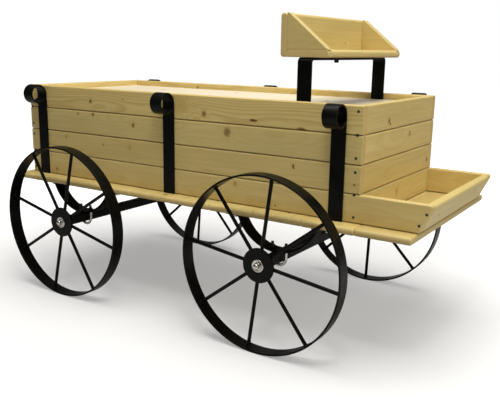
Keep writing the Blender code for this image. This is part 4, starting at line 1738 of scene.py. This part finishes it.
@dataclass
class Studio:
    """A pale floor, soft lights and the camera."""

    eye: Vector = field(default_factory=lambda: Vector((1.12642, -1.67837, 0.74793)))
    heading: float = -0.579
    dip: float = 0.223
    roll: float = 0.017
    lens: float = 48.31
    sky: float = 0.1

    def build(self) -> None:
        """Sets up the floor, the lights, the sky and the camera."""
        self.floor()
        self.lights()
        self.background()
        self.camera()

    @staticmethod
    def floor() -> None:
        """A wide pale floor."""
        bm = bmesh.new()
        bmesh.ops.create_circle(bm, cap_ends=True, segments=96, radius=40.0)
        mesh = bpy.data.meshes.new("studio_floor")
        bm.to_mesh(mesh)
        bm.free()
        made = bpy.data.objects.new("studio_floor", mesh)
        bpy.context.scene.collection.objects.link(made)
        made.location.z = -0.0005  # just clear of the hoops
        material, tree, shader = start_material("pale_floor")
        spot = tree.node("TexCoord").outputs["Object"]
        speck = tree.noise(spot, 3.0, 3.0)
        tree.feed(shader.inputs["Base Color"], tree.mix(speck, (0.6, 0.6, 0.595), (0.62, 0.62, 0.615)))
        shader.inputs["Roughness"].default_value = 0.9
        shader.inputs["Specular IOR Level"].default_value = 0.1
        shader.inputs["Emission Color"].default_value = (1.0, 1.0, 0.995, 1.0)
        away = tree.between(tree.vector("LENGTH", spot), 0.5, 2.2)
        seen = tree.node("LightPath").outputs["Is Camera Ray"]
        glow = tree.math("MULTIPLY", seen, tree.math("MULTIPLY_ADD", away, 0.62, 0.34))
        tree.feed(shader.inputs["Emission Strength"], glow)
        mesh.materials.append(material)

    @staticmethod
    def lights() -> None:
        """A broad light overhead, a small lamp at the near corner, a soft light ahead and a faint one behind."""
        plan = (
            ("overhead", (0.35, -0.3, 3.3), (0.0, 0.0, 0.4), 3.0, 122.0, (1.0, 0.985, 0.955)),
            ("lamp", (0.9, -1.3, 2.5), (0.0, 0.0, 0.4), 0.3, 9.0, (1.0, 0.985, 0.955)),
            ("front_soft", (3.2, -0.4, 1.9), (0.2, 0.0, 0.4), 1.8, 27.0, (1.0, 0.985, 0.95)),
            ("far_rim", (-1.5, 3.0, 2.0), (0.0, 0.0, 0.4), 2.0, 6.0, (0.98, 0.99, 1.0)),
        )
        for name, at, target, size, power, colour in plan:
            light = bpy.data.lights.new(name, "AREA")
            light.shape = "SQUARE"
            light.size = size
            light.energy = power
            light.color = colour
            made = bpy.data.objects.new(name, light)
            bpy.context.scene.collection.objects.link(made)
            made.location = at
            made.rotation_euler = (Vector(at) - Vector(target)).to_track_quat("Z", "Y").to_euler()

    def background(self) -> None:
        """An even pale sky."""
        world = bpy.data.worlds.new("studio_sky")
        world.use_nodes = True
        tree = Tree(world.node_tree)
        sky = world.node_tree.nodes["Background"]
        sky.inputs["Color"].default_value = (1.0, 1.0, 1.0, 1.0)
        seen = tree.node("LightPath").outputs["Is Camera Ray"]
        tree.feed(sky.inputs["Strength"], tree.math("MULTIPLY_ADD", seen, 1.0 - self.sky, self.sky))
        bpy.context.scene.world = world
        bpy.context.scene.view_settings.view_transform = "Standard"

    def camera(self) -> None:
        """The camera at the front right corner, looking slightly down."""
        data = bpy.data.cameras.new("camera")
        data.lens = self.lens
        data.sensor_width = 36.0
        data.sensor_fit = "HORIZONTAL"
        data.clip_start, data.clip_end = 0.05, 100.0
        made = bpy.data.objects.new("camera", data)
        bpy.context.scene.collection.objects.link(made)
        level = math.cos(self.dip)
        ahead = Vector((math.sin(self.heading) * level, math.cos(self.heading) * level, -math.sin(self.dip)))
        right = ahead.cross(UP).normalized()
        up = right.cross(ahead)
        leaned = right * math.cos(self.roll) + up * math.sin(self.roll)
        top = up * math.cos(self.roll) - right * math.sin(self.roll)
        turn = Matrix((leaned, top, -ahead)).transposed().to_4x4()
        made.matrix_world = Matrix.Translation(self.eye) @ turn
        bpy.context.scene.camera = made


def main() -> None:
    """Loads the frame, and builds the cart and the studio."""
    logging.basicConfig(level=logging.INFO, format="%(name)s: %(message)s")
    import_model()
    effects = Effects()
    shop = Workshop(
        effects,
        black=SatinBlack("satin_black").make(effects),
        black_gear=SatinBlack("satin_black_gear", roughness=0.46, scuff=0.35).make(effects),
        zinc=BrightZinc("bright_zinc").make(effects),
        threaded=BrightZinc("bright_zinc_threaded", thread_above=0.246).make(effects),
        screw=DarkScrewSteel("dark_screw").make(effects),
    )
    for assembly in (Floor(shop), Walls(shop), Tray(shop), Deck(shop), Seat(shop)):
        assembly.build()
    for ironwork in (StakeStraps(shop), RunningGear(shop), Wheels(shop), Fixings(shop)):
        ironwork.build()
    shop.level_normals()
    Studio().build()
    bpy.context.view_layer.update()


if __name__ == "__main__":
    main()
